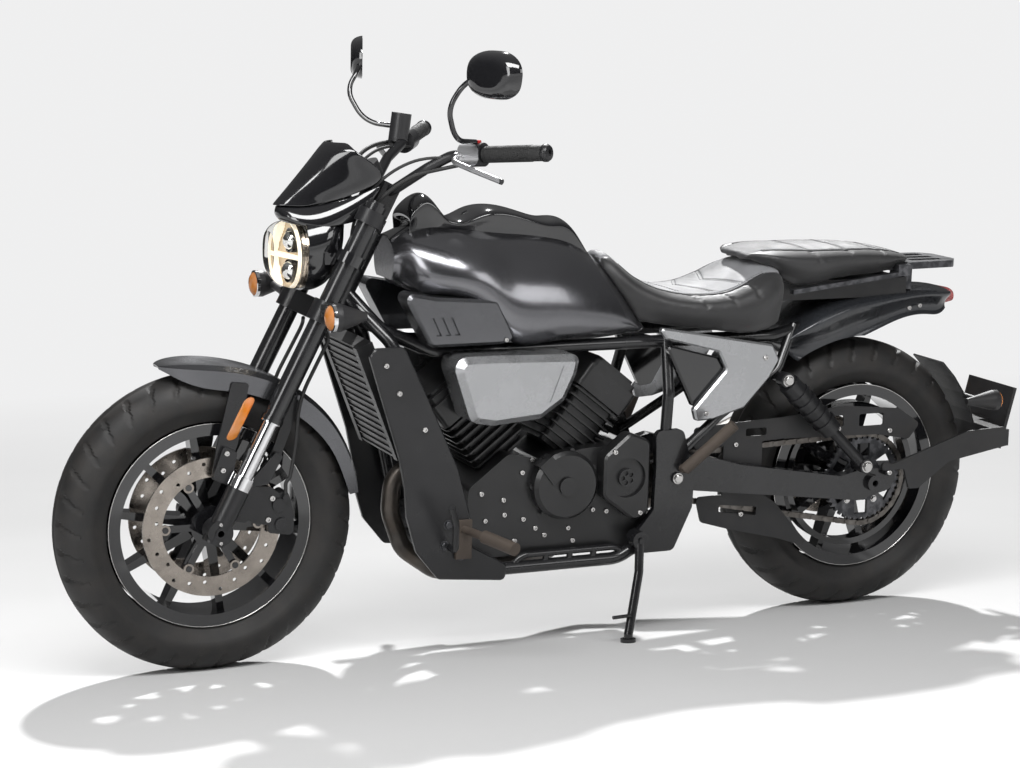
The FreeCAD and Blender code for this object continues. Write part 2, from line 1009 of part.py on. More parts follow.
def front_wheel_nodes():
    x, z = front_axle_x, front_axle_z
    carrier = fuse(disc_carrier(front_disc_inner, front_disc_y, front_hub_radius))
    wheel = fuse(rim(front_rim_radius, front_rim_half_width, front_hub_radius, front_hub_half,
                     front_spoke_turn) + both(carrier))
    wheel = wheel.cut(across(0, 0, -front_disc_y - overrun, front_disc_y + overrun,
                             front_axle_radius + clearance))
    disc = brake_disc(front_disc_radius, front_disc_inner, front_disc_y)
    rubber = tyre(front_tyre_radius, front_tyre_half_width, front_rim_radius, front_rim_half_width)
    return {"front_tyre": [at(rubber, x, 0, z)],
            "front_rim": [at(wheel, x, 0, z)],
            "front_discs": [at(side, x, 0, z) for side in both(disc)]}


def rear_wheel_nodes():
    x, z = rear_axle_x, rear_axle_z
    ring = tube(V(0, rear_ring_low, 0), V(0, rear_ring_high, 0), rear_ring_radius + rear_ring_wall / 2,
                rear_ring_radius - rear_ring_wall / 2)
    carrier = mirrored(fuse(disc_carrier(rear_disc_inner, rear_disc_y, rear_hub_radius)))
    wheel = fuse(rim(rear_rim_radius, rear_rim_half_width, rear_hub_radius, rear_hub_half, 0)
                 + [ring, carrier])
    wheel = wheel.cut(across(0, 0, -rear_disc_y - overrun, rear_disc_y + overrun,
                             rear_axle_radius + clearance))
    disc = mirrored(brake_disc(rear_disc_radius, rear_disc_inner, rear_disc_y))
    rubber = tyre(rear_tyre_radius, rear_tyre_half_width, rear_rim_radius, rear_rim_half_width)
    return {"rear_tyre": [at(rubber, x, 0, z)],
            "rear_rim": [at(wheel, x, 0, z)],
            "rear_disc": [at(disc, x, 0, z)],
            "rear_sprocket": [at(rear_sprocket(), x, 0, z)]}


# Chain drive

def toothed_wheel(teeth, steps, radii):
    """A flat toothed wheel centred on Y zero; each tooth repeats the steps at the given radii."""
    points = []
    for i in range(teeth):
        for step, r in zip(steps, radii):
            angle = 2 * math.pi * (i + step) / teeth
            points.append(V(r * math.cos(angle), -sprocket_thickness / 2, r * math.sin(angle)))
    face = Part.Face(Part.Wire(polygon_edges(points)))
    return face.extrude(V(0, sprocket_thickness, 0))


def rear_sprocket():
    """The driven wheel, which turns inside the fixed chain: its tips stop short of the rollers."""
    tip = sprocket_pitch_radius - roller_radius - tooth_gap
    root = tip - tooth_height
    wheel = toothed_wheel(sprocket_teeth, (0.0, 0.28, 0.42, 0.72, 0.86), (root, root, tip, tip, root))
    tools = []
    for i in range(sprocket_window_count):
        window = box(rear_hub_radius + running_gap, root - sprocket_rim / 2, -overrun, overrun,
                     -sprocket_window_width / 2, sprocket_window_width / 2)
        window.rotate(V(0, 0, 0), V(0, 1, 0), (i + 0.5) * 360 / sprocket_window_count)
        tools.append(window)
    wheel = at(wheel.cut(tools), 0, chain_y, 0)
    carrier = across(0, 0, rear_hub_half, chain_y, rear_hub_radius)
    bore_share = 2
    bore = across(0, 0, -overrun, chain_y + overrun, rear_axle_radius + running_gap * bore_share)
    return fuse([wheel, carrier]).cut(bore)


def chain_rollers():
    """Roller centres round both sprockets: whole teeth on each, the runs divided evenly."""
    rear = V(rear_axle_x, 0, rear_axle_z)
    front = V(drive_sprocket_x, 0, drive_sprocket_z)
    span = front - rear
    tilt = math.atan2(span.z, span.x)
    ease = math.asin((sprocket_pitch_radius - drive_pitch_radius) / span.Length)
    drive_step = 2 * math.pi / drive_sprocket_teeth
    rear_step = 2 * math.pi / sprocket_teeth
    drive_steps = round((math.pi - 2 * ease) / drive_step)
    rear_steps = round((math.pi + 2 * ease) / rear_step)
    rear_steps += (drive_steps + rear_steps) % 2

    def arc(centre, radius, middle, step, steps):
        points = []
        for i in range(steps + 1):
            angle = middle + step * (steps / 2 - i)
            points.append(V(centre.x + radius * math.cos(angle), 0, centre.z + radius * math.sin(angle)))
        return points

    drive = arc(front, drive_pitch_radius, tilt, drive_step, drive_steps)
    driven = arc(rear, sprocket_pitch_radius, tilt + math.pi, rear_step, rear_steps)
    rollers = []
    for points, following in ((drive, driven), (driven, drive)):
        rollers += points
        run = following[0] - points[-1]
        run_steps = round(run.Length / chain_pitch)
        rollers += [points[-1] + run * (i / run_steps) for i in range(1, run_steps)]
    return rollers, tilt + drive_step * (drive_steps % 2) / 2


def link_plate(start, end, y_low, y_high):
    """A waisted side plate between two rollers."""
    end_share = 0.3
    waist_share = 0.12
    way = end - start
    across_way = V(-way.z, 0, way.x)
    across_way.normalize()
    rise = across_way * link_half_height
    lead = way * end_share
    waist = way * waist_share
    corners = [start - lead, start + waist + rise, end - waist + rise, end + lead, end - waist - rise,
               start + waist - rise]
    face = Part.Face(Part.Wire(polygon_edges([V(p.x, y_low, p.z) for p in corners])))
    return face.extrude(V(0, y_high - y_low, 0))


def drive_chain():
    """Alternating inner and outer links on rollers, one closed loop round both sprockets."""
    rollers, _ = chain_rollers()
    sides = 6
    inner_y = roller_half_width
    middle_y = inner_y + link_thickness
    outer_y = middle_y + link_thickness
    solids = []
    for i, start in enumerate(rollers):
        end = rollers[(i + 1) % len(rollers)]
        low, high = (inner_y, middle_y) if i % 2 == 0 else (middle_y, outer_y)
        solids.append(link_plate(start, end, low, high))
        solids.append(link_plate(start, end, -high, -low))
        way = end - start
        turn = math.atan2(way.z, way.x)
        corners = []
        for k in range(sides):
            angle = turn + 2 * math.pi * k / sides
            corners.append(V(start.x + roller_radius * math.cos(angle), -outer_y,
                             start.z + roller_radius * math.sin(angle)))
        face = Part.Face(Part.Wire(polygon_edges(corners)))
        solids.append(face.extrude(V(0, 2 * outer_y, 0)))
    whole = solids[0].fuse(solids[1:])
    return at(whole.removeSplitter(), 0, chain_y, 0)


def drive_sprocket():
    """The driving wheel, whose teeth stand between the chain's rollers, on its shaft."""
    _, first_tooth = chain_rollers()
    root = drive_pitch_radius - roller_radius - clearance
    tip = drive_pitch_radius + tooth_tip_rise
    wheel = toothed_wheel(drive_sprocket_teeth, (0.24, 0.42, 0.58, 0.76), (root, tip, tip, root))
    wheel.rotate(V(0, 0, 0), V(0, 1, 0), -math.degrees(first_tooth))
    shaft = across(0, 0, recess_y + clearance - chain_y, sprocket_thickness / 2, drive_pitch_radius / 2)
    nut_share = 0.35
    nut = across(0, 0, 0, sprocket_thickness, drive_pitch_radius * nut_share)
    return at(fuse([wheel, shaft, nut]), drive_sprocket_x, chain_y, drive_sprocket_z)


# Fork

def clamp(height, thickness, stem_wall):
    """A yoke: two leg bosses, a stem boss and the bridge between them."""
    low, high = height - thickness / 2, height + thickness / 2
    boss = fork_tube_radius + clamp_boss_wall
    legs = [cylinder(V(fork_offset, side, low), V(fork_offset, side, high), boss)
            for side in (fork_spacing, -fork_spacing)]
    stem = cylinder(V(0, 0, low), V(0, 0, high), stem_wall)
    stem_share, back_share, front_share, middle_share = 0.7, 0.6, 0.7, 0.9
    half = [(-stem_wall * stem_share, stem_wall * stem_share), (fork_offset - boss * back_share,
                                                                fork_spacing),
            (fork_offset + boss * front_share, fork_spacing)]
    outline = [V(x, -y, low) for x, y in half] + [V(fork_offset * middle_share, 0, low)]
    outline += [V(x, y, low) for x, y in reversed(half)]
    bridge = Part.Face(Part.Wire(polygon_edges(outline))).extrude(V(0, 0, thickness))
    whole = fuse([stem, bridge] + legs)
    bores = [cylinder(V(fork_offset, side, low - overrun), V(fork_offset, side, high + overrun),
                      fork_tube_radius + clearance) for side in (fork_spacing, -fork_spacing)]
    bores.append(cylinder(V(0, 0, low - overrun), V(0, 0, high + overrun), stem_radius - clearance))
    return whole.cut(bores)


def leg_stays():
    """The mudguard's two struts on one side and the slider's lugs they are bolted to."""
    stay_y = guard_half_width + clearance
    strut_low, strut_high = stay_y, stay_y + stay_thickness
    front_shares = [(0.44, 0.0), (0.92, 0.0), (1.25, 0.30), (1.78, 0.94), (1.20, 1.0), (0.62, 0.42)]
    rear_shares = [(-0.66, 0.38), (-1.08, 0.38), (-0.98, 0.55), (-0.80, 1.06), (-0.36, 1.06), (-0.62, 0.55)]
    front = plate(outline_in(0, stay_low, lug_width, stay_length, front_shares), strut_low, strut_high,
                  stay_thickness)
    rear = plate(outline_in(0, stay_low, lug_width, stay_length, rear_shares), strut_low, strut_high,
                 stay_thickness)
    front_lug_shares = [(0.0, 0.0), (0.95, 0.02), (1.1, 0.34), (0.55, 0.34), (0.36, 0.15), (0.0, 0.15)]
    rear_lug_shares = [(0.0, 0.0), (0.0, 0.15), (-0.36, 0.15), (-0.72, 0.50), (-1.02, 0.50), (-0.98, 0.18)]
    lug_low, lug_high = strut_high - clearance, strut_high + lug_thickness
    lugs = [plate(outline_in(0, stay_low, lug_width, stay_length, shares), lug_low, lug_high, stay_thickness)
            for shares in (front_lug_shares, rear_lug_shares)]
    return [front, rear] + lugs


def caliper_lug():
    """The slider's ear that carries the brake caliper."""
    shares = [(0.0, 0.12), (-0.80, 0.18), (-1.0, 0.26), (-1.0, 0.50), (-0.7, 0.56), (0.0, 0.5)]
    ear_y = front_disc_y + caliper_half_width
    return plate(outline_in(0, 0, lug_width, stay_length, shares), ear_y + stay_thickness,
                 ear_y + stay_thickness + lug_thickness, stay_thickness)


def fork_nodes():
    lower = clamp(lower_clamp_height, lower_clamp_thickness, head_tube_radius)
    upper = clamp(upper_clamp_height, upper_clamp_thickness, head_tube_radius * 0.82)
    stem_low = lower_clamp_height - lower_clamp_thickness / 2
    stem_high = upper_clamp_height + upper_clamp_thickness / 2 + stem_radius / 2
    stem = cylinder(V(0, 0, stem_low), V(0, 0, stem_high), stem_radius)
    nut_share = 1.3
    nut = cylinder(V(0, 0, stem_high - stem_radius / 2), V(0, 0, stem_high + stem_radius / 2),
                   stem_radius * nut_share)
    clamps = fuse([lower, stem, upper, nut])
    tubes = []
    sliders = []
    rod_top = fork_cap_height - overrun
    for side in (fork_spacing, -fork_spacing):
        outer = cylinder(V(fork_offset, side, seal_height), V(fork_offset, side, fork_cap_height),
                         fork_tube_radius)
        collar = cylinder(V(fork_offset, side, seal_height), V(fork_offset, side, seal_height + seal_collar),
                          slider_radius)
        cap = cylinder(V(fork_offset, side, rod_top), V(fork_offset, side,
                                                        fork_cap_height + fork_button_rise),
                       stanchion_radius)
        bore = cylinder(V(fork_offset, side, seal_height - overrun), V(fork_offset, side,
                                                                       rod_top + clearance),
                        stanchion_radius + clearance)
        tubes.append(fuse([outer, collar, cap]).cut(bore))
        inner = cylinder(V(fork_offset, side, 0), V(fork_offset, side, rod_top), stanchion_radius)
        lower_leg = cylinder(V(fork_offset, side, -slider_foot), V(fork_offset, side, slider_top),
                             slider_radius)
        sliders += [inner, lower_leg]
    fittings = [at(piece, fork_offset, 0, 0) for piece in leg_stays() + [caliper_lug()]]
    half_clamp = slider_radius * 0.9
    fittings.append(cylinder(V(fork_offset, fork_spacing - half_clamp, 0),
                             V(fork_offset, fork_spacing + half_clamp, 0), axle_clamp_radius))
    sliders += fittings + [mirrored(piece) for piece in fittings]
    axle_reach = fork_spacing + slider_radius
    axle = cylinder(V(fork_offset, -axle_reach, 0), V(fork_offset, axle_reach, 0), front_axle_radius)
    bore = cylinder(V(fork_offset, -axle_reach - overrun, 0), V(fork_offset, axle_reach + overrun, 0),
                    front_axle_bore)
    legs = fuse(sliders + [axle]).cut(bore)
    return {"fork_clamps": [fork_place(clamps)],
            "fork_tubes": [fork_place(leg) for leg in tubes],
            "fork_sliders": [fork_place(legs)]}


# Handlebar and controls

bar_end = head_point + V(-bar_end_back, bar_end_side, bar_end_rise)
grip_run = V(grip_sweep, -grip_length, -grip_droop)
grip_start = bar_end + grip_run
grip_way = bar_end - grip_start
grip_way.normalize()


def handlebar():
    bend_share = 1.5
    cap_share = 1.7
    clamp_point = fork_point(riser_ahead, bar_clamp_side, bar_height)
    knee = head_point + V(-bar_knee_back, bar_knee_side, bar_knee_rise)
    left = [clamp_point, knee, bar_end + grip_run * bend_share, bar_end]
    whole = [V(p.x, -p.y, p.z) for p in reversed(left)] + left
    pieces = [pipe(whole, bar_radius, bar_bend)]
    low = upper_clamp_height + upper_clamp_thickness / 2
    for side in (riser_side, -riser_side):
        riser = box(riser_ahead - riser_length / 2, riser_ahead + riser_length / 2, side - riser_width / 2,
                    side + riser_width / 2, low, bar_height + bar_radius * cap_share)
        pieces.append(fork_place(riser))
    return fuse(pieces)


def hand_controls():
    """Switch housing, perch and lever for each hand, with the brake fluid cup on the right."""
    bar_line = cylinder(grip_start - grip_way * (2 * switch_length), grip_start + grip_way * overrun,
                        bar_radius + clearance)
    switch = tube(grip_start - grip_way * switch_length, grip_start + grip_way * grip_end_proud,
                  grip_radius + switch_wall, bar_radius + clearance)
    root = grip_start - grip_way * (switch_length * 0.62)
    perch = cylinder(root, root + V(lever_reach * 0.65, 0, -perch_radius / 2), perch_radius)
    lever = pipe([root + V(lever_reach * 0.54, 0, -lever_radius * 0.7),
                  root + V(lever_reach, lever_reach * 0.58, -lever_droop * 0.23),
                  grip_start + V(lever_reach * 0.88, lever_bend, -lever_droop * 0.59),
                  grip_start + V(lever_radius * 1.7, grip_length, -lever_droop)], lever_radius, lever_bend)
    control = fuse([switch, perch.cut(bar_line), lever])
    foot = root + V(reservoir_ahead, -reservoir_inset, 0)
    cup = cylinder(foot, foot + V(-reservoir_radius * 0.36, 0, reservoir_height), reservoir_radius)
    right = fuse([mirrored(control), mirrored(cup.cut(bar_line))])
    return [control, right]


def mirror():
    """A stem that rises from the perch to a shallow lofted shell, its glass facing back."""
    head = head_point + V(-mirror_back, mirror_side, mirror_rise)
    foot = grip_start + V(grip_radius, 0, grip_radius + switch_wall + mirror_stem_radius / 4)
    stem_shares = [(0.0, 0.0, 0.0), (2.6, 0.32, 0.05), (3.77, 0.52, 0.52), (2.55, 0.55, 0.87), (1.87, 0.85,
                                                                                                0.98)]
    reach = head - foot
    points = [foot + V(mirror_depth * ahead, reach.y * out, reach.z * up) for ahead, out, up in stem_shares]

    def ring(depth, scale):
        section = oval(0, mirror_width / 2 * scale, -mirror_height / 2 * scale, mirror_height / 2 * scale)
        section.translate(V(depth, 0, 0))
        return section

    shell = loft([ring(0, 1.0), ring(mirror_depth * 0.6, 0.9), ring(mirror_depth, 0.5)])
    shell.rotate(V(0, 0, 0), V(0, 0, 1), mirror_turn)
    shell.translate(head)
    return fuse([pipe(points, mirror_stem_radius), shell])


def handlebar_nodes():
    grip = tube(grip_start + grip_way * running_gap, bar_end + grip_way * grip_end_proud, grip_radius,
                bar_radius + clearance)
    return {"handlebar": [handlebar()], "grips": both(grip), "hand_controls": hand_controls(),
            "mirrors": both(mirror())}


# Headlamp, screen, gauge and signals

def headlamp():
    """An oval lamp whose shell narrows back to two ears clamped round the fork tubes."""
    half = lamp_width / 2
    z_low, z_high = lamp_z - lamp_height / 2, lamp_z + lamp_height / 2
    shell_shares = [(0.0, 1.0, 0.0, 0.096), (0.58, 0.98, 0.082, 0.205), (1.0, 0.62, 0.52, 0.274)]
    shell = loft([oval(lamp_x - nacelle_length * back, half * wide, z_low + lamp_height * low,
                       z_high + lamp_height * high) for back, wide, low, high in shell_shares])
    lens_shares = [(0.0, 1.0, 0.0, 0.0), (0.645, 0.88, 0.06, -0.02), (1.0, 0.52, 0.24, -0.14)]
    lens = loft([oval(lamp_x + clearance + lamp_depth * ahead, (half - lens_lip) * wide,
                      z_low + lens_lip + lamp_height * low, z_high - lens_lip / 2 + lamp_height * high)
                 for ahead, wide, low, high in lens_shares])
    ear_up = (lamp_z - steer_z - fork_offset * math.sin(rake)) / math.cos(rake)
    pieces = [shell]
    bores = []
    for side in (fork_spacing, -fork_spacing):
        low, high = V(fork_offset, side, ear_up - ear_height / 2), V(fork_offset, side,
                                                                     ear_up + ear_height / 2)
        pieces.append(fork_place(cylinder(low, high, fork_tube_radius + ear_wall)))
        bores.append(fork_place(cylinder(low - V(0, 0, overrun), high + V(0, 0, overrun),
                                         fork_tube_radius + clearance)))
        inner = abs(side) - fork_tube_radius - ear_wall / 2 - ear_width / 2
        ear = box(lamp_x - nacelle_length * 0.88, lamp_x - nacelle_length * 0.38, inner, inner + ear_width,
                  lamp_z - ear_height / 2, lamp_z + ear_height / 2)
        pieces.append(ear if side > 0 else mirrored(ear))
    return fuse(pieces).cut(bores), lens


def flyscreen(shell):
    """A thin bowed and creased sheet over the lamp, on two posts."""
    row_shares = [(0.0, 0.45, 0.35), (0.18, 0.76, 0.80), (0.45, 1.0, 1.0), (0.73, 0.93, 0.58), (0.90, 0.76,
                                                                                                0.30),
                  (1.0, 0.5, 0.2)]
    bow_shares = ((1.0, -1.0), (0.28, -0.72), (0.0, 0.0), (0.28, 0.72), (1.0, 1.0))
    post_top_share, post_foot_share = (0.42, 0.27), 0.55
    foot = head_point + V(screen_foot_ahead, 0, screen_foot_rise)
    sections = []
    for up, wide, deep in row_shares:
        row = foot + V(-screen_slope * up, 0, screen_height * up)
        half, depth = screen_half_width * wide, screen_depth * deep
        outer = [row + V(-depth * back, half * side, 0) for back, side in bow_shares]
        inner = [V(point.x - screen_thickness, point.y * (half - screen_thickness) / half, point.z)
                 for point in reversed(outer[1:-1])]
        edge = [V(outer[-1].x, outer[-1].y - screen_thickness, row.z),
                V(outer[0].x, outer[0].y + screen_thickness, row.z)]
        ring = outer + edge[:1] + inner + edge[1:]
        sections.append(Part.Wire([Part.LineSegment(start, end).toShape()
                                   for start, end in zip(ring, ring[1:] + ring[:1])]))
    sheet = Part.makeLoft(sections, True, True)
    post_back, post_rise = post_top_share
    post_top = foot + V(-screen_slope * post_back, screen_post_side, screen_height * post_rise)
    post = cylinder(V(lamp_x - lens_lip * 3, screen_post_side, lamp_z + lamp_height * post_foot_share),
                    post_top,
                    screen_post_radius)
    return fuse([sheet] + [side.cut(shell) for side in both(post)])


def gauge():
    """A round instrument on a neck from a clip round the handlebar."""
    bar = fork_point(riser_ahead, 0, bar_height)
    face = head_point + V(gauge_ahead, 0, gauge_rise)
    top = face + V(gauge_depth * 0.48, 0, gauge_depth * 0.9)
    clip_share = 1.6
    clip = across(bar.x, bar.z, -bar_radius * clip_share, bar_radius * clip_share, bar_radius * clip_share)
    neck_bar = cylinder(bar, face + (top - face) * 0.2, gauge_neck_radius)
    bore = across(bar.x, bar.z, -overrun, overrun, bar_radius + clearance)
    return fuse([cylinder(face, top, gauge_radius), clip, neck_bar]).cut(bore)


def signal_lamp(x, y, z, radius, length, foot, way):
    """A bullet lamp with its round lens ahead (way 1) or behind (way -1) and a stalk to its foot."""
    tail_share = 0.3
    rim = V(x - way * radius / 2, y, z)
    return [cylinder(rim, V(x, y, z), radius),
            cone(V(x - way * length, y, z), rim, radius * tail_share, radius),
            cylinder(V(x - way * length / 2, y, z), foot, radius * tail_share)]


def head_nodes():
    shell, lens = headlamp()
    boss_side = fork_spacing + fork_tube_radius + clamp_boss_wall + clearance
    place = lower_boss_point + V(signal_ahead, 0, signal_rise)
    foot_x, foot_z = lower_boss_point.x, lower_boss_point.z + signal_rise * 0.75
    lamp = signal_lamp(place.x, signal_side, place.z, signal_radius, signal_length,
                       V(foot_x + signal_foot_width / 4, boss_side + signal_foot_depth / 2, foot_z), 1)
    lamp.append(box(foot_x - signal_foot_width / 2, foot_x + signal_foot_width / 2, boss_side,
                    boss_side + signal_foot_depth, foot_z - signal_foot_height / 2,
                    foot_z + signal_foot_height / 2))
    return {"headlamp_shell": [shell], "headlamp_lens": [lens], "flyscreen": [flyscreen(shell)],
            "gauge": [gauge()], "front_signals": both(fuse(lamp))}


# Front mudguard and brakes

def front_fender():
    """A pressed mudguard with a pointed, lifted front tip and deep skirts."""
    shares = [(0.0, 1.0, 0.28, 0.14), (0.05, 0.82, 0.70, 0.62), (0.13, 0.42, 0.93, 0.96), (0.27, 0.0, 1.0,
                                                                                           1.0),
              (0.48, -0.06, 1.0, 1.0), (0.68, -0.16, 0.99, 0.88), (0.87, -0.8, 0.93, 0.70), (1.0, -1.15,
                                                                                             0.83, 0.48)]
    edge_share = 0.19
    crown_share = 0.21
    sections = []
    for along, lift, wide, deep in shares:
        angle = guard_front_angle + (guard_rear_angle - guard_front_angle) * along
        rise = guard_tip_rise * lift if lift > 0 else guard_tail_drop * lift
        outer = guard_radius + rise
        inner = outer - guard_sheet
        half = guard_half_width * wide
        skirt = outer - guard_skirt * deep
        fall = guard_skirt * deep * crown_share
        edge = half * (1 - edge_share)
        left = [(outer, edge), (outer - fall, half), (skirt, half), (skirt, half - guard_sheet),
                (inner - fall, half - guard_sheet), (inner, edge - guard_sheet / 2)]
        ring = [V(r, y, 0) for r, y in left] + [V(r, -y, 0) for r, y in reversed(left)]
        section = Part.Wire(polygon_edges(ring))
        section.rotate(V(0, 0, 0), V(0, 1, 0), -angle)
        sections.append(section)
    return at(loft(sections), front_axle_x, 0, front_axle_z)


def arc_block(inner, outer, middle, span, y_low, y_high, corner):
    """A block between two radii round an axle, seen from the side."""
    step_count = 4
    points = []
    for i in range(step_count + 1):
        points.append(polar(outer, middle - span / 2 + span * i / step_count))
    for i in range(step_count + 1):
        points.append(polar(inner, middle + span / 2 - span * i / step_count))
    return plate(points, y_low, y_high, corner)


def caliper(inner, outer, middle, span, y, half_width, slot_radius):
    """Two halves round a disc, open over the pads, with two piston bosses on the outer half."""
    body = arc_block(inner, outer, middle, span, y - half_width, y + half_width, caliper_corner)
    slot = across(0, 0, y - caliper_slot / 2, y + caliper_slot / 2, slot_radius)
    window_share = 0.36
    window = arc_block(slot_radius - overrun, outer + overrun, middle, span * window_share,
                       y - caliper_slot / 2, y + caliper_slot / 2, caliper_corner / 2)
    body = body.cut([slot, window])
    bosses = []
    for share in (-1, 1):
        x, z = polar((inner + outer) / 2, middle + share * span / 4)
        bosses.append(across(x, z, y + caliper_slot / 2 + piston_proud, y + half_width + piston_proud,
                             piston_radius))
    return [body] + bosses


def front_brake_nodes():
    """Calipers on the sliders' ears and a hose to each from the lower clamp."""
    ear_y = front_disc_y + caliper_half_width + stay_thickness - clearance
    ear_low = front_disc_y + caliper_slot / 2 + piston_proud
    ear_shares = [(-0.62, 0.24), (-1.2, 0.2), (-1.9, 0.26), (-1.9, 0.56), (-1.2, 0.60), (-0.62, 0.54)]
    ear = plate(outline_in(fork_offset, 0, lug_width, stay_length, ear_shares), ear_low,
                front_disc_y + caliper_half_width, stay_thickness)
    ear_bosses = [across(fork_offset - lug_width * 0.8, stay_length * share, ear_low, ear_y, ear_boss_radius)
                  for share in (0.28, 0.48)]
    body = caliper(caliper_inner, caliper_outer, caliper_angle, caliper_span, front_disc_y,
                   caliper_half_width,
                   front_disc_radius + running_gap)
    body = [at(piece, front_axle_x, 0, front_axle_z) for piece in body]
    whole = fuse(body + [fork_place(piece) for piece in [ear] + ear_bosses])
    banjo_top = banjo_middle + V(0, ear_boss_radius / 2, 0)
    banjo = cylinder(banjo_middle - V(0, ear_boss_radius / 2 + clearance, 0), banjo_top, banjo_radius)
    whole = fuse([whole, banjo])
    return {"front_fender": [front_fender()], "front_calipers": both(whole)}


def brake_hoses():
    """A rubber hose down behind each fork leg, from the lower clamp to the caliper's banjo."""
    clamp_low = lower_clamp_height - lower_clamp_thickness / 2 - clearance
    points = [fork_point(hose_ahead, hose_side, clamp_low - hose_radius)]
    way_shares = ((0.40, 0.88, 0.963), (0.485, 0.92, 0.659), (-1.04, 0.90, 0.471), (-1.85, 0.84, 0.335))
    for ahead, side, up in way_shares:
        points.append(fork_point(hose_ahead * ahead, fork_spacing * side, clamp_low * up))
    end = banjo_middle + V(0, 0, banjo_radius + clearance)
    points += [end + V(0, 0, hose_ahead), end]
    for i in range(1, len(points) - 1):
        print("hose bend", i, "radius", round(bend_radius(points[i - 1], points[i], points[i + 1]), 1))
    return {"brake_hoses": both(pipe(points, hose_radius))}


# Frame

def left_frame_tubes(grow):
    """Backbone spar, down tube with the lower rail, post and seat stay, as round bars."""
    radius = frame_tube_radius + grow
    post_share, stay_share = 0.9, 0.8
    spar_z = tank_floor_z - frame_tube_radius - spar_gap
    spar = pipe([V(neck.x, neck_half_width, neck.z),
                 V(neck.x - spar_turn_back, spar_turn_side, spar_z + spar_turn_rise),
                 V(neck.x - spar_level_back, spar_y, spar_z), V(spar_rear_x, spar_y, spar_z),
                 V(spar_tip_x, spar_y - spar_tip_inset, spar_z + spar_tip_inset)], radius, frame_bend)
    down = pipe([V(neck.x, neck_half_width, neck.z - neck_half_width),
                 V(neck.x - knee_back, knee_y, neck.z - knee_drop), V(down_tube_x, down_tube_y, down_tube_z),
                 V(down_foot_x, rail_y, down_foot_z), V(rail_front_x, rail_y, rail_z),
                 V(rail_rear_x, rail_y, rail_z), V(rail_tip_x, rail_y, rail_z + rail_tip_rise)],
                radius, rail_bend)
    post = pipe([V(pivot_x + post_foot_ahead, rail_y, pivot_z + post_foot_rise),
                 V(pivot_x + post_knee_ahead, rail_y - post_knee_inset, pivot_z + post_knee_rise),
                 V(pivot_x + post_head_ahead, spar_y + post_head_outset, spar_z + post_head_outset)],
                radius * post_share, post_bend)
    stay = pipe([V(pivot_x - stay_foot_back, rail_y + stay_foot_outset, pivot_z + stay_foot_rise),
                 V(pivot_x - stay_knee_back, rail_y - stay_knee_inset, pivot_z + stay_knee_rise),
                 V(shock_top_x, stay_shock_y, shock_top_z + stay_shock_rise),
                 V(spar_tip_x + stay_tip_ahead, spar_y - stay_tip_inset, spar_z + stay_tip_rise)],
                radius * stay_share, post_bend)
    return [spar, down, post, stay]


def frame_tubes(grow):
    left = left_frame_tubes(grow)
    return left + [mirrored(bar) for bar in left]


def radiator(grow):
    """A slatted core between two side tanks, leaning with the front wheel."""
    half = radiator_width / 2
    core_half = half - radiator_tank_width
    pieces = [box(-radiator_depth - grow, grow, -half - grow, half + grow, -grow, radiator_height + grow)]
    side_tank = box(-radiator_depth - grow, radiator_tank_proud + grow, core_half, half + grow, -grow,
                    radiator_height + grow)
    pieces += both(side_tank)
    step = radiator_height / slat_count
    for i in range(slat_count):
        z = step * (i + 1 / 2) - slat_thickness / 2
        pieces.append(box(-slat_proud, slat_proud, -core_half, core_half, z, z + slat_thickness))
    whole = fuse(pieces)
    whole.rotate(V(0, 0, 0), V(0, 1, 0), radiator_lean)
    return at(whole, radiator_foot_x, 0, radiator_foot_z)


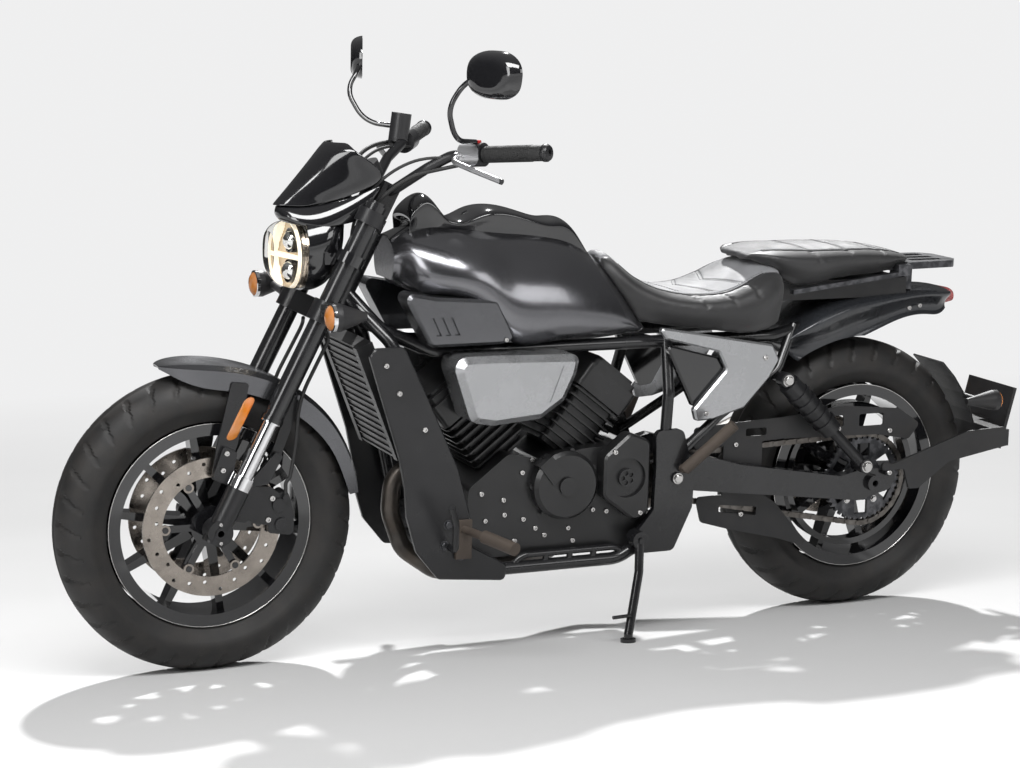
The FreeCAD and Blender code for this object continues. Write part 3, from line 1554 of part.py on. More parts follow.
def frame_nodes():
    head_low = lower_clamp_height + lower_clamp_thickness / 2 + clearance
    head_high = upper_clamp_height - upper_clamp_thickness / 2 - clearance
    head = fork_place(cylinder(V(0, 0, head_low), V(0, 0, head_high), head_tube_radius))
    head_bore = fork_place(cylinder(V(0, 0, head_low - overrun), V(0, 0, head_high + overrun),
                                    stem_radius + clearance))
    plate_low = swingarm_outer + clearance
    plate_high = plate_low + pivot_plate_thickness
    pivot_shares = [(0.30, 0.0), (1.0, 0.0), (0.95, 0.12), (0.62, 0.35), (0.60, 0.72), (0.62, 1.0), (0.2,
                                                                                                     1.0),
                    (0.0, 0.62), (0.02, 0.35)]
    pieces = left_frame_tubes(0)
    pieces.append(plate(outline_in(pivot_plate_rear, pivot_plate_low, pivot_plate_length, pivot_plate_height,
                                   pivot_shares), plate_low, plate_high, pivot_plate_thickness))
    pieces.append(across(shock_top_x, shock_top_z, stay_shock_y - shock_boss_radius,
                         shock_top_y - shock_eye_half_width - clearance, shock_boss_radius))
    bracket_shares = [(0.0, 0.0), (1.0, 0.0), (1.12, 1.0), (0.08, 1.0)]
    pieces.append(plate(outline_in(down_foot_x - engine_bracket_length, down_foot_z - engine_bracket_height,
                                   engine_bracket_length, engine_bracket_height, bracket_shares),
                        case_half_width + clearance, case_half_width + engine_bracket_thickness,
                        engine_bracket_thickness))
    pieces.append(across(rear_mount_x, rear_mount_z, case_half_width + clearance, plate_low + clearance,
                         mount_boss_radius))
    for x, y, z in ((down_foot_x, rail_y, down_foot_z), (down_tube_x, down_tube_y, down_tube_z)):
        pieces.append(across(x, z, y, cover_inner_y - clearance, cover_boss_radius))
    low_bar = rail_z + step_rail_rise
    pieces.append(pipe([V(step_rail_front_x + step_rail_rise, rail_y, rail_z), V(step_rail_front_x, rail_y,
                                                                                 low_bar),
                        V(rail_rear_x, rail_y, low_bar), V(rail_rear_x - step_rail_rise, rail_y, rail_z)],
                       step_rail_radius, rail_bend))
    for i in range(strut_count):
        x = rail_rear_x + (step_rail_front_x - rail_rear_x) * (i + 1) / (strut_count + 1)
        pieces.append(cylinder(V(x, rail_y, rail_z), V(x, rail_y, low_bar), step_rail_radius))
    knee_z = neck.z - knee_drop
    hanger_z = down_tube_z + (knee_z - down_tube_z) * radiator_hanger_share
    hanger = box(down_tube_x, down_tube_x + hanger_reach, down_tube_y - frame_tube_radius - hanger_width,
                 down_tube_y - frame_tube_radius / 2, hanger_z - hanger_height / 2,
                 hanger_z + hanger_height / 2)
    pieces.append(hanger.cut(radiator(clearance)))
    stand_side = [across(stand_x, stand_z, plate_low, stand_y - stand_hub_width / 2 - clearance,
                         stand_hub_radius),
                  across(stand_x, stand_z, plate_low, stand_y + stand_hub_width / 2 + stand_pin_proud,
                         stand_pin_radius)]
    axle_reach = frame_side + pivot_axle_proud
    axle = across(pivot_x, pivot_z, -axle_reach, axle_reach, pivot_radius)
    half = fuse(pieces)
    frame = fuse([head, half, mirrored(half), axle] + stand_side).cut(head_bore)
    cover_shares = [(0.95, 1.0), (0.66, 1.0), (0.42, 0.78), (0.12, 0.49), (0.0, 0.30), (-0.02, 0.16),
                    (-0.38, 0.07), (-0.38, 0.0), (0.30, 0.03), (0.52, 0.15), (0.62, 0.30), (0.64, 0.42),
                    (0.70, 0.55), (0.88, 0.80), (1.0, 0.97)]
    cover = bevelled(outline_in(cover_low_x, cover_low_z, cover_length, cover_height, cover_shares),
                     cover_inner_y,
                     cover_outer_y, cover_thickness, cover_bevel)
    recess_shares = [(0.722, 0.435), (0.761, 0.430), (0.843, 0.526), (0.809, 0.540)]
    recess = plate(outline_in(cover_low_x - cover_recess, cover_low_z, cover_length, cover_height,
                              recess_shares),
                   cover_outer_y - cover_recess, cover_outer_y + overrun, cover_bevel)
    return {"main_frame": [frame], "frame_covers": both(cover.cut(recess)), "radiator": [radiator(0)]}


# Engine

def cylinder_bank(angle, case):
    """A finned barrel, its head and a stepped rocker cover."""
    top = cylinder_base + cylinder_length
    step = cylinder_length / fin_count
    pieces = [slab(cylinder_breadth - 2 * fin_reach, cylinder_width - 2 * fin_reach, cylinder_base, top,
                   cylinder_corner)]
    for i in range(fin_count):
        z = cylinder_base + step * (i + 1 / 2)
        pieces.append(slab(cylinder_breadth, cylinder_width, z, z + fin_thickness, cylinder_corner))
    rocker_low = top + head_length - rocker_height
    pieces.append(slab(cylinder_breadth, cylinder_width, top, rocker_low, cylinder_corner))
    pieces.append(slab(cylinder_breadth - rocker_inset, cylinder_width - rocker_inset, rocker_low,
                       top + head_length - rocker_step, cylinder_corner))
    pieces.append(slab(cylinder_breadth - rocker_inset * 2, cylinder_width - rocker_inset * 2, rocker_low,
                       top + head_length, cylinder_corner))
    bank = fuse(pieces)
    bank.rotate(V(0, 0, 0), V(0, 1, 0), angle)
    return at(bank, crank_x, 0, crank_z).cut(case)


def round_cover(x, z, radius, depth, side):
    """A bevelled round cover on one face of the case."""
    profile = [(0, 0), (0, radius), (depth - generator_bevel, radius), (depth, radius - generator_bevel),
               (depth, 0)]
    return turned(profile, V(x, side * case_half_width, z), V(x, side * (case_half_width + depth), z))


def engine_covers():
    """Generator and sprocket covers on the left, clutch and oil covers on the right."""
    outer_y = case_half_width + generator_depth
    generator = [round_cover(generator_x, generator_z, generator_radius, generator_depth, 1),
                 across(generator_x, generator_z, outer_y - centre_cap_depth, outer_y + centre_cap_depth,
                        centre_cap_radius)]
    for x, z in ring_places(flange_bolt_count, generator_radius):
        generator.append(across(generator_x + x, generator_z + z, case_half_width,
                                case_half_width + flange_depth,
                                flange_bolt_radius))
    chute = box(-chute_width / 2, chute_width / 2, case_half_width, outer_y + chute_proud, -chute_length / 2,
                chute_length / 2)
    chute.rotate(V(0, 0, 0), V(0, 1, 0), cylinder_angle)
    generator.append(at(chute, generator_x + generator_radius / 2, 0, generator_z + generator_radius / 2))
    cover_shares = [(1.0, 0.75), (0.45, 1.0), (0.0, 0.9), (0.0, 0.1), (0.3, 0.0), (1.0, 0.3)]
    cover_outer = case_half_width + sprocket_cover_depth
    cover = bevelled(outline_in(sprocket_cover_front - sprocket_cover_length, sprocket_cover_low,
                                sprocket_cover_length, sprocket_cover_height, cover_shares), case_half_width,
                     cover_outer, sprocket_vent_radius, sprocket_cover_bevel)
    pocket_x = sprocket_cover_front - sprocket_cover_length / 2
    pocket_z = sprocket_cover_low + sprocket_cover_height / 2
    cover = cover.cut(across(pocket_x, pocket_z, cover_outer - sprocket_pocket_depth, cover_outer + overrun,
                             sprocket_pocket_radius))
    vent = across(pocket_x, pocket_z, cover_outer - sprocket_pocket_depth - clearance, cover_outer,
                  sprocket_vent_radius)
    holes = [across(pocket_x + x, pocket_z + z, cover_outer - sprocket_pocket_depth / 2,
                    cover_outer + overrun,
                    vent_hole_radius) for x, z in ring_places(vent_hole_count, vent_ring_radius)]
    right = fuse([round_cover(clutch_x, clutch_z, clutch_radius, clutch_depth, -1),
                  round_cover(oil_cover_x, oil_cover_z, oil_cover_radius, oil_cover_depth, -1)])
    return [fuse(generator), fuse([cover, vent]).cut(holes), right]


def intake_cover():
    """A bevelled cover beside the heads, seated on the front one."""
    cover_shares = [(1.0, 1.0), (0.66, 1.0), (0.0, 0.96), (0.03, 0.67), (0.12, 0.30), (0.30, 0.06), (0.67,
                                                                                                     0.0),
                    (0.84, 0.06)]
    cover = bevelled(outline_in(intake_rear_x, intake_low_z, intake_length, intake_height, cover_shares),
                     intake_inner_y, intake_outer_y, intake_corner, intake_bevel)
    groove_shares = [(0.20, 0.30), (0.235, 0.30), (0.135, 0.82), (0.10, 0.82)]
    groove = plate(outline_in(intake_rear_x + intake_bevel, intake_low_z, intake_length, intake_height,
                              groove_shares), intake_outer_y - intake_groove, intake_outer_y + overrun,
                   intake_groove)
    head_middle = cylinder_base + cylinder_length + head_length / 2
    boss = across(crank_x + head_middle * math.sin(bank_tilt), crank_z + head_middle * math.cos(bank_tilt),
                  cylinder_width / 2 + clearance, intake_inner_y + intake_groove, intake_boss_radius)
    return fuse([cover.cut(groove), boss])


def exhaust():
    """The front header swept down and under the engine to the silencer on the right."""
    face_way = V(math.cos(bank_tilt), 0, -math.sin(bank_tilt))
    port_height = cylinder_base + cylinder_length + (head_length - rocker_height) / 2
    port = V(crank_x + port_height * math.sin(bank_tilt), 0, crank_z + port_height * math.cos(bank_tilt))
    port += face_way * (cylinder_breadth / 2 + clearance)
    start = V(silencer_x, silencer_y, silencer_z)
    header = pipe([port, port + face_way * port_run, V(header_x - header_turn_back, header_y, header_top_z),
                   V(header_x - header_bow_back, header_y, header_bow_z), V(header_x, header_y,
                                                                            header_middle_z),
                   V(header_x - header_knee_back, header_y, header_knee_z),
                   V(header_x - header_foot_back, header_y - header_foot_inset, header_foot_z),
                   V(under_front_x, under_front_y, under_front_z), V(under_rear_x, under_rear_y,
                                                                     under_rear_z),
                   V(silencer_x + silencer_run, silencer_y + silencer_inset, silencer_z - silencer_drop),
                   start + V(clearance, clearance, 0)], header_radius, header_bend)
    bottom = silencer_length - silencer_bore
    silencer = turned([(0, 0), (0, header_radius + header_wall), (silencer_cone, silencer_radius),
                       (silencer_length - silencer_wall * 2, silencer_radius),
                       (silencer_length, silencer_radius - silencer_wall), (silencer_length, silencer_bore),
                       (bottom, silencer_bore), (bottom, 0)], start,
                      V(silencer_end_x, silencer_end_y, silencer_end_z))
    return [header, silencer]


def engine_nodes():
    case_shares = [(0.02, 0.1), (0.10, 0.0), (0.95, 0.02), (1.0, 0.12), (0.98, 0.68), (0.78, 0.98), (0.60,
                                                                                                     0.90),
                   (0.40, 0.98), (0.12, 1.0), (0.0, 0.8), (0.0, 0.3)]
    case = plate(outline_in(case_rear_x, case_floor_z, case_length, case_height, case_shares),
                 -case_half_width,
                 case_half_width, case_corner)
    recess = box(case_rear_x - overrun, drive_sprocket_x + recess_ahead, recess_y, case_half_width + overrun,
                 drive_sprocket_z - recess_drop, drive_sprocket_z + recess_drop)
    case = case.cut(recess)
    return {"crankcase": [case], "front_cylinder": [cylinder_bank(cylinder_angle, case)],
            "rear_cylinder": [cylinder_bank(-cylinder_angle, case)], "engine_covers": engine_covers(),
            "intake_covers": both(intake_cover()), "exhaust": exhaust()}


# Tank, seats and tail

def body_loft(front_x, length, base_z, height, half_width, form_shares, stations):
    """A body from stations of distance back, bottom, top and half width, each as a share."""
    low_share, wide_share, top_share = form_shares
    sections = []
    for back, low, high, wide in stations:
        half = half_width * wide
        sections.append(body_section(front_x - length * back, base_z + height * low, base_z + height * high,
                                     half * low_share, half, wide_share, half * top_share))
    return loft(sections)


def fuel_tank():
    crease_share = 0.42
    station_shares = [(1.0, 0.54, 0.89, 0.28, 0.40, 0.26), (0.942, 0.46, 0.95, 0.45, 0.65, 0.40),
                      (0.84, 0.42, 0.99, 0.66, 0.91, 0.47), (0.705, 0.30, 0.99, 0.76, 0.99, 0.51),
                      (0.587, 0.024, 0.98, 0.78, 1.0, 0.50), (0.417, 0.0, 0.936, 0.74, 0.97, 0.47),
                      (0.281, 0.0, 0.83, 0.66, 0.91, 0.43), (0.163, 0.0, 0.64, 0.56, 0.79, 0.38),
                      (0.078, 0.008, 0.42, 0.47, 0.66, 0.30), (0.01, 0.03, 0.12, 0.33, 0.51, 0.26)]
    sections = []
    for along, low, high, half_low, half_wide, half_top in station_shares:
        sections.append(body_section(tank_rear_x + tank_length * along, tank_floor_z + tank_height * low,
                                     tank_floor_z + tank_height * high, tank_half_width * half_low,
                                     tank_half_width * half_wide, crease_share, tank_half_width * half_top))
    spar_out = spar_y + frame_tube_radius + clearance
    tunnel = box(tank_rear_x - overrun, tank_front_x, -spar_out, spar_out, tank_floor_z - overrun,
                 tank_floor_z - spar_clearance)
    return largest(loft(sections).cut(tunnel))


def tank_scoop():
    """A slotted side scoop that closes the tank's lower front corner."""
    outline_shares = [(1.0, 0.98), (0.70, 0.86), (0.17, 0.78), (0.0, 0.05), (0.15, 0.0), (0.75, 0.0)]
    low_x, low_z = tank_front_x - scoop_back, tank_floor_z + scoop_rise
    scoop = bevelled(outline_in(low_x, low_z, scoop_length, scoop_height, outline_shares), scoop_inner_y,
                     scoop_outer_y, scoop_bevel * 2, scoop_bevel)
    slot_shares = [(0.0, 0.20), (0.045, 0.20), (0.115, 0.52), (0.07, 0.52)]
    slots = []
    for i in range(scoop_slot_count):
        start = low_x + scoop_length / 2 + scoop_slot_pitch * i
        slots.append(plate(outline_in(start, low_z, scoop_length, scoop_height, slot_shares),
                           scoop_outer_y - scoop_slot_depth, scoop_outer_y + overrun, clearance))
    return scoop.cut(slots)


def seat_nodes(tank, console):
    """The rider's seat, the passenger's, the plate between them and the tail, and the rack."""
    seat_shares = [(0.0, 0.512, 1.0, 0.36), (0.131, 0.226, 0.893, 0.615), (0.296, 0.137, 0.643, 0.78),
                   (0.46, 0.089, 0.571, 0.90), (0.624, 0.036, 0.601, 0.974), (0.765, 0.0, 0.726, 1.006),
                   (0.906, 0.036, 0.893, 0.95), (1.0, 0.095, 0.917, 0.78)]
    form_shares = (0.9, 0.4, 0.72)
    seat = body_loft(tank_rear_x + seat_front_lap, seat_length, tank_floor_z, seat_height, seat_half_width,
                     form_shares, seat_shares)
    floor = box(tank_rear_x - seat_length, tank_front_x, -seat_half_width - overrun,
                seat_half_width + overrun,
                tank_floor_z - overrun, tank_floor_z + seat_floor_gap)
    seat = largest(seat.cut([tank, console, floor]))
    pillion_shares = [(0.0, 0.597, 0.805, 0.49), (0.089, 0.468, 0.935, 0.85), (0.206, 0.0, 1.0, 0.984),
                      (0.463, 0.0, 1.0, 1.0), (0.743, 0.13, 0.935, 0.918), (0.93, 0.312, 0.753, 0.787),
                      (1.0, 0.442, 0.623, 0.574)]
    form_shares = (0.88, 0.4, 0.8)
    pillion = largest(body_loft(pillion_front_x, pillion_length, pillion_base_z, pillion_height,
                                pillion_half_width, form_shares, pillion_shares).cut(seat))
    tail_shares = [(0.0, 0.231, 0.385, 0.885), (0.084, 0.0, 0.615, 0.962), (0.216, 0.013, 0.82, 1.0),
                   (0.348, 0.18, 0.923, 0.98), (0.524, 0.372, 0.974, 0.923), (0.7, 0.538, 0.994, 0.827),
                   (0.877, 0.577, 1.0, 0.712), (1.0, 0.654, 0.962, 0.596)]
    form_shares = (0.8, 0.6, 0.85)
    tail = body_loft(tail_front_x, tail_length, tail_base_z, tail_height, tail_half_width, form_shares,
                     tail_shares)
    arch_half = rear_tyre_half_width + arch_side_gap
    arch = across(rear_axle_x, rear_axle_z, -arch_half, arch_half, rear_tyre_radius + tail_arch_gap)
    tail = largest(tail.cut([arch, seat] + frame_tubes(clearance)))
    base = largest(box(seat_base_rear_x, seat_base_front_x, -seat_base_half_width, seat_base_half_width,
                       seat_base_low_z, seat_base_high_z).cut([seat, pillion, tail]))
    return {"rider_seat": [seat], "passenger_seat": [pillion], "tail_fairing": [tail], "seat_base": [base],
            "luggage_rack": [luggage_rack([pillion, tail, base])], "tail_lamp": [tail_lamp()]}


def tail_lamp():
    """A flat oval lamp on the tail's end."""
    front = tail_front_x - tail_length - clearance
    low = tail_base_z + tail_lamp_rise
    return loft([oval(front, tail_lamp_half_width, low, low + tail_lamp_height),
                 oval(front - tail_lamp_depth, tail_lamp_half_width - tail_lamp_taper, low + tail_lamp_taper,
                      low + tail_lamp_height - tail_lamp_taper)])


def luggage_rack(tools):
    """A slotted rack plate behind the seat with a grab rail forward along each side."""
    rack_shares = [(0.0, -1.0), (0.9, -0.8), (1.0, -0.5), (1.0, 0.5), (0.9, 0.8), (0.0, 1.0)]
    points = [V(rack_front_x - rack_length * back, rack_half_width * side, rack_z) for back,
              side in rack_shares]
    rack = Part.Face(Part.Wire(rounded_edges(points, rack_corner, True))).extrude(V(0, 0, rack_thickness))
    slots = []
    for side in (-1, 0, 1):
        middle = side * rack_slot_pitch
        slots.append(box(rack_front_x - rack_slot_rear, rack_front_x - rack_slot_front,
                         middle - rack_slot_width / 2, middle + rack_slot_width / 2, rack_z - overrun,
                         rack_z + rack_thickness + overrun))
    rail_end = rack_front_x - rack_corner * 2
    rail_low, rail_high = rail_bar_y - rail_bar_width / 2, rail_bar_y + rail_bar_width / 2
    half_bar = rail_bar_height / 2
    foot = box(seat_base_rear_x - rack_foot_length, seat_base_rear_x, rack_foot_side - rack_foot_width / 2,
               rack_foot_side + rack_foot_width / 2, rack_foot_low_z, rack_z + clearance)
    bar = plate([(rail_bar_front_x, rail_bar_front_z - half_bar), (rail_bar_front_x,
                                                                   rail_bar_front_z + half_bar),
                 (rail_end, rack_z), (rail_end, rack_z - rail_bar_height)], rail_low, rail_high, clearance)
    joint = box(rail_end - rack_corner, rail_end + rack_corner, rack_half_width - rack_corner, rail_high,
                rack_z - rail_bar_height, rack_z + rack_thickness)
    left = [foot, bar, joint]
    return largest(fuse([rack.cut(slots)] + left + [mirrored(piece) for piece in left]).cut(tools))


def body_nodes():
    tank = fuel_tank()
    console_shares = [(0.0034, 0.778, 0.901, 0.25), (0.066, 0.857, 1.063, 0.33), (0.122, 0.857, 1.242, 0.30),
                      (0.166, 0.857, 1.206, 0.29), (0.207, 0.857, 1.079, 0.34), (0.283, 0.857, 1.056, 0.41),
                      (0.334, 0.857, 1.111, 0.43), (0.493, 0.817, 1.095, 0.42), (0.615, 0.738, 1.024, 0.38),
                      (0.739, 0.619, 0.885, 0.30), (0.8, 0.54, 0.73, 0.24)]
    form_shares = (0.9, 0.7, 0.7)
    console = largest(body_loft(tank_front_x, tank_length, tank_floor_z, tank_height, tank_half_width,
                                form_shares,
                                console_shares).cut(tank))
    made = {"fuel_tank": [tank], "tank_console": [console],
            "tank_scoops": [largest(side.cut(tank)) for side in both(tank_scoop())]}
    made.update(seat_nodes(tank, console))
    seat = made["rider_seat"][0]
    cover_shares = [(1.0, 1.0), (0.68, 0.92), (0.06, 0.76), (0.0, 0.60), (0.08, 0.41), (0.28, 0.11), (0.53,
                                                                                                      0.01),
                    (0.67, 0.0), (0.695, 0.125), (0.435, 0.525), (0.505, 0.715), (0.93, 0.87)]
    cover = bevelled(outline_in(side_cover_rear_x, side_cover_low_z, side_cover_length, side_cover_height,
                                cover_shares), side_cover_inner_y, side_cover_outer_y, side_cover_bevel * 2,
                     side_cover_bevel)
    panel_shares = [(1.0, 1.0), (0.13, 0.76), (0.0, 0.56), (0.30, 0.03), (0.51, 0.0)]
    panel = bevelled(outline_in(panel_rear_x, panel_low_z, panel_length, panel_height, panel_shares),
                     panel_inner_y,
                     panel_outer_y, panel_bevel * 2, panel_bevel)
    tools = [seat] + frame_tubes(clearance)
    made["side_covers"] = [largest(side.cut(tools)) for side in both(cover)]
    made["side_panels"] = [largest(side.cut(tools)) for side in both(panel)]
    return made


# Rear suspension

def swingarm():
    """Two arms on a pivot sleeve, from places along the line from axle to pivot and heights off it."""
    arm_shares = [(1.029, 0.43), (0.874, 0.97), (0.676, 0.59), (0.168, 0.235), (0.065, 0.57), (-0.088, 0.72),
                  (-0.116, 0.33), (-0.0935, -0.275), (0.027, -0.70), (0.059, -0.83), (0.914, -0.59),
                  (1.038, -0.54)]
    start = V(rear_axle_x, 0, rear_axle_z)
    run = V(pivot_x, 0, pivot_z) - start
    rise = V(-run.z, 0, run.x)
    rise.normalize()
    points = [start + run * along + rise * (swingarm_height * up) for along, up in arm_shares]
    arm = plate([(point.x, point.z) for point in points], swingarm_inner, swingarm_outer, swingarm_width / 2)
    cross = across(pivot_x, pivot_z, -swingarm_outer, swingarm_outer, pivot_sleeve_radius)
    brace_x = pivot_x - brace_back
    brace = box(brace_x - swingarm_width / 2, brace_x + swingarm_width / 2, -swingarm_inner - clearance,
                swingarm_inner + clearance, pivot_z - brace_height, pivot_z)
    axle_reach = swingarm_outer + axle_nut_depth
    axle = across(rear_axle_x, rear_axle_z, -axle_reach, axle_reach, rear_axle_radius)
    side = [arm, across(rear_axle_x, rear_axle_z, swingarm_outer, axle_reach, axle_nut_radius),
            across(rear_axle_x + shock_foot_ahead, rear_axle_z + shock_foot_rise,
                   swingarm_outer - axle_nut_depth,
                   shock_foot_y - shock_eye_half_width - clearance, shock_lug_radius)]
    bores = [across(rear_axle_x, rear_axle_z, -axle_reach - overrun, axle_reach + overrun, rear_axle_bore),
             across(pivot_x, pivot_z, -swingarm_outer - overrun, swingarm_outer + overrun,
                    pivot_radius + clearance)]
    return fuse([cross, brace, axle] + side + [mirrored(piece) for piece in side]).cut(bores)


def rear_shock():
    """A damper with its rod below, a ringed body above and an eye at each end."""
    rod_shares, body_shares, ring_shares = (0.04, 0.5), (0.42, 0.96), (0.5, 0.08, 0.03)
    low = V(rear_axle_x + shock_foot_ahead, shock_foot_y, rear_axle_z + shock_foot_rise)
    high = V(shock_top_x, shock_top_y, shock_top_z)
    way = high - low
    pieces = [cylinder(low + way * rod_shares[0], low + way * rod_shares[1], shock_rod_radius),
              cylinder(low + way * body_shares[0], low + way * body_shares[1], shock_body_radius)]
    for eye in (low, high):
        pieces.append(across(eye.x, eye.z, eye.y - shock_eye_half_width, eye.y + shock_eye_half_width,
                             shock_eye_radius))
    for i in range(spring_ring_count):
        middle = low + way * (ring_shares[0] + ring_shares[1] * i)
        pieces.append(cylinder(middle, middle + way * ring_shares[2], spring_ring_radius))
    return fuse(pieces)


def chain_guard(outline, slots, tab_low, tab_high, boss_x, boss_z):
    """A slotted flat guard beside the chain, with a tab and a boss against the arm."""
    y_low, y_high = guard_plate_y, guard_plate_y + guard_plate_thickness
    tab_front = pivot_x - guard_tab_back
    pieces = [plate(outline, y_low, y_high, guard_corner),
              box(tab_front - guard_tab_length, tab_front, y_low, y_high, tab_low, tab_high),
              across(boss_x, boss_z, y_low, swingarm_inner - clearance, guard_boss_radius)]
    tools = [plate(slot, y_low - overrun, y_high + overrun, guard_corner / 2) for slot in slots]
    return fuse(pieces).cut(tools)


def chain_guards():
    upper_shares = [(1.0, 0.75), (0.83, 0.8), (0.62, 0.85), (0.35, 1.0), (0.10, 0.87), (0.0, 0.52), (0.05,
                                                                                                     0.2),
                    (0.2, 0.35), (0.62, 0.40), (1.0, 0.30)]
    slot_shares = [[(0.69, 0.50), (0.78, 0.50), (0.78, 0.66), (0.69, 0.66)],
                   [(0.35, 0.56), (0.44, 0.56), (0.44, 0.80), (0.35, 0.80)],
                   [(0.17, 0.54), (0.28, 0.54), (0.28, 0.80), (0.17, 0.80)]]
    low_x, low_z = rear_axle_x - upper_guard_back, rear_axle_z + upper_guard_rise
    boss_x = pivot_x - guard_tab_back - guard_boss_back
    upper = chain_guard(outline_in(low_x, low_z, upper_guard_length, upper_guard_height, upper_shares),
                        [outline_in(low_x, low_z, upper_guard_length, upper_guard_height, shares)
                         for shares in slot_shares],
                        pivot_z - guard_boss_radius, pivot_z + guard_tab_height, boss_x,
                        pivot_z + guard_boss_radius / 2)
    lower_shares = [(1.0, 0.99), (0.75, 1.0), (0.46, 0.99), (0.32, 0.80), (0.14, 0.35), (0.0, 0.0), (0.31,
                                                                                                     0.22),
                    (0.70, 0.42), (0.95, 0.58)]
    slot_shares = [(0.48, 0.62), (0.80, 0.72), (0.80, 0.84), (0.48, 0.76)]
    low_x, low_z = pivot_x - lower_guard_back, rear_axle_z - lower_guard_drop
    lower = chain_guard(outline_in(low_x, low_z, lower_guard_length, lower_guard_height, lower_shares),
                        [outline_in(low_x, low_z, lower_guard_length, lower_guard_height, slot_shares)],
                        pivot_z - guard_tab_height, pivot_z - guard_tab_height + lower_tab_height, boss_x,
                        pivot_z - lower_boss_drop)
    return [upper, lower]


def rear_caliper():
    """The right-hand rear caliper and the boss that holds it to the swingarm."""
    body = caliper(rear_caliper_inner, rear_caliper_outer, rear_caliper_angle, rear_caliper_span, rear_disc_y,
                   rear_caliper_half_width, rear_disc_radius + running_gap)
    boss_share = 0.38
    x, z = polar(rear_caliper_boss_radius, rear_caliper_angle - rear_caliper_span * boss_share)
    body.append(across(x, z, rear_disc_y + caliper_slot / 2 + piston_proud, swingarm_inner - clearance,
                       ear_boss_radius))
    return mirrored(at(fuse(body), rear_axle_x, 0, rear_axle_z))


def rear_nodes():
    return {"swingarm": [swingarm()], "rear_shocks": both(rear_shock()), "chain_guards": chain_guards(),
            "drive_chain": [drive_chain()], "drive_sprocket": [drive_sprocket()],
            "rear_caliper": [rear_caliper()]}


# Plate holder, foot controls and side stand

def plate_holder():
    """An arm from the left swingarm end round to the plate board and the mudguard flap."""
    arm_shares = [(0.93, 0.55), (0.85, 0.51), (0.31, 0.97), (0.03, 1.0), (0.0, 0.68), (0.44, 0.48), (0.66,
                                                                                                     0.07),
                  (0.73, 0.07), (0.77, 0.41), (0.93, 0.41)]
    arm_low = swingarm_outer + holder_gap + clearance
    arm_high = arm_low + holder_thickness
    rear_x, low_z = rear_axle_x - holder_rear_back, rear_axle_z - holder_drop
    top_z = low_z + holder_height
    arm = plate(outline_in(rear_x, low_z, holder_length, holder_height, arm_shares), arm_low, arm_high,
                holder_thickness)
    boss = across(rear_axle_x - holder_boss_back, rear_axle_z + holder_boss_rise, swingarm_outer + clearance,
                  arm_low + holder_thickness / 2, holder_boss_radius)
    cross = box(rear_x, rear_x + holder_cross_depth, -flap_half_width, arm_high, top_z - holder_cross_drop,
                top_z - holder_thickness)
    board_x, board_z = rear_x - board_back, top_z + board_rise
    board = box(board_x - board_thickness / 2, board_x + board_thickness / 2, -board_width / 2,
                board_width / 2,
                board_z - board_height / 2, board_z + board_height / 2)
    board.rotate(V(board_x, 0, board_z), V(0, 1, 0), -board_lean)
    link = box(board_x, rear_x + holder_thickness, -flap_half_width / 2, flap_half_width / 2,
               top_z - holder_cross_drop + holder_thickness, top_z - holder_thickness)
    flap = arc_block(flap_radius, flap_radius + flap_thickness, (flap_front_angle + flap_rear_angle) / 2,
                     flap_rear_angle - flap_front_angle, -flap_half_width, flap_half_width, clearance)
    return fuse([arm, boss, cross, board, link, at(flap, rear_axle_x, 0, rear_axle_z)])


def rear_signals():
    x, z = polar(flap_radius + flap_thickness / 2, rear_signal_angle)
    foot = V(rear_axle_x + x, flap_half_width + clearance, rear_axle_z + z)
    lamp = signal_lamp(foot.x - rear_signal_length / 2, rear_signal_side, foot.z, rear_signal_radius,
                       rear_signal_length, foot, -1)
    return both(fuse(lamp))


def footrests(cover_y):
    """Front pegs on plates against the frame covers, and folded rear pegs on the pivot plates."""
    tip_drop = V(0, 0, peg_tip_drop)
    elbow = V(peg_x - peg_elbow_back, peg_inner_y, peg_z) + tip_drop
    tip = V(peg_x - peg_elbow_back - peg_sweep, peg_outer_y, peg_z) - tip_drop
    peg = fuse([cylinder(elbow, tip, peg_radius),
                cylinder(V(peg_x, cover_y + peg_foot_depth / 2, peg_z), elbow + V(0, clearance, 0),
                         peg_bar_radius),
                box(peg_x - peg_foot_length / 2, peg_x + peg_foot_length / 2, cover_y,
                    cover_y + peg_foot_depth,
                    peg_z + peg_foot_rise - peg_foot_height, peg_z + peg_foot_rise)])
    plate_y = swingarm_outer + clearance + pivot_plate_thickness + clearance
    root = V(pivot_x - rear_peg_back, plate_y, pivot_z + rear_peg_foot_rise)
    knee = root + V(0, rear_peg_radius, 0)
    rear = fuse([cylinder(root, knee, peg_bar_radius),
                 cylinder(knee, knee + V(-rear_peg_length, rear_peg_outset, rear_peg_rise), rear_peg_radius)])
    inboard = box(root.x - rear_peg_rise, root.x + rear_peg_rise, 0, plate_y, 0, root.z + rear_peg_rise)
    return both(peg) + both(rear.cut(inboard))


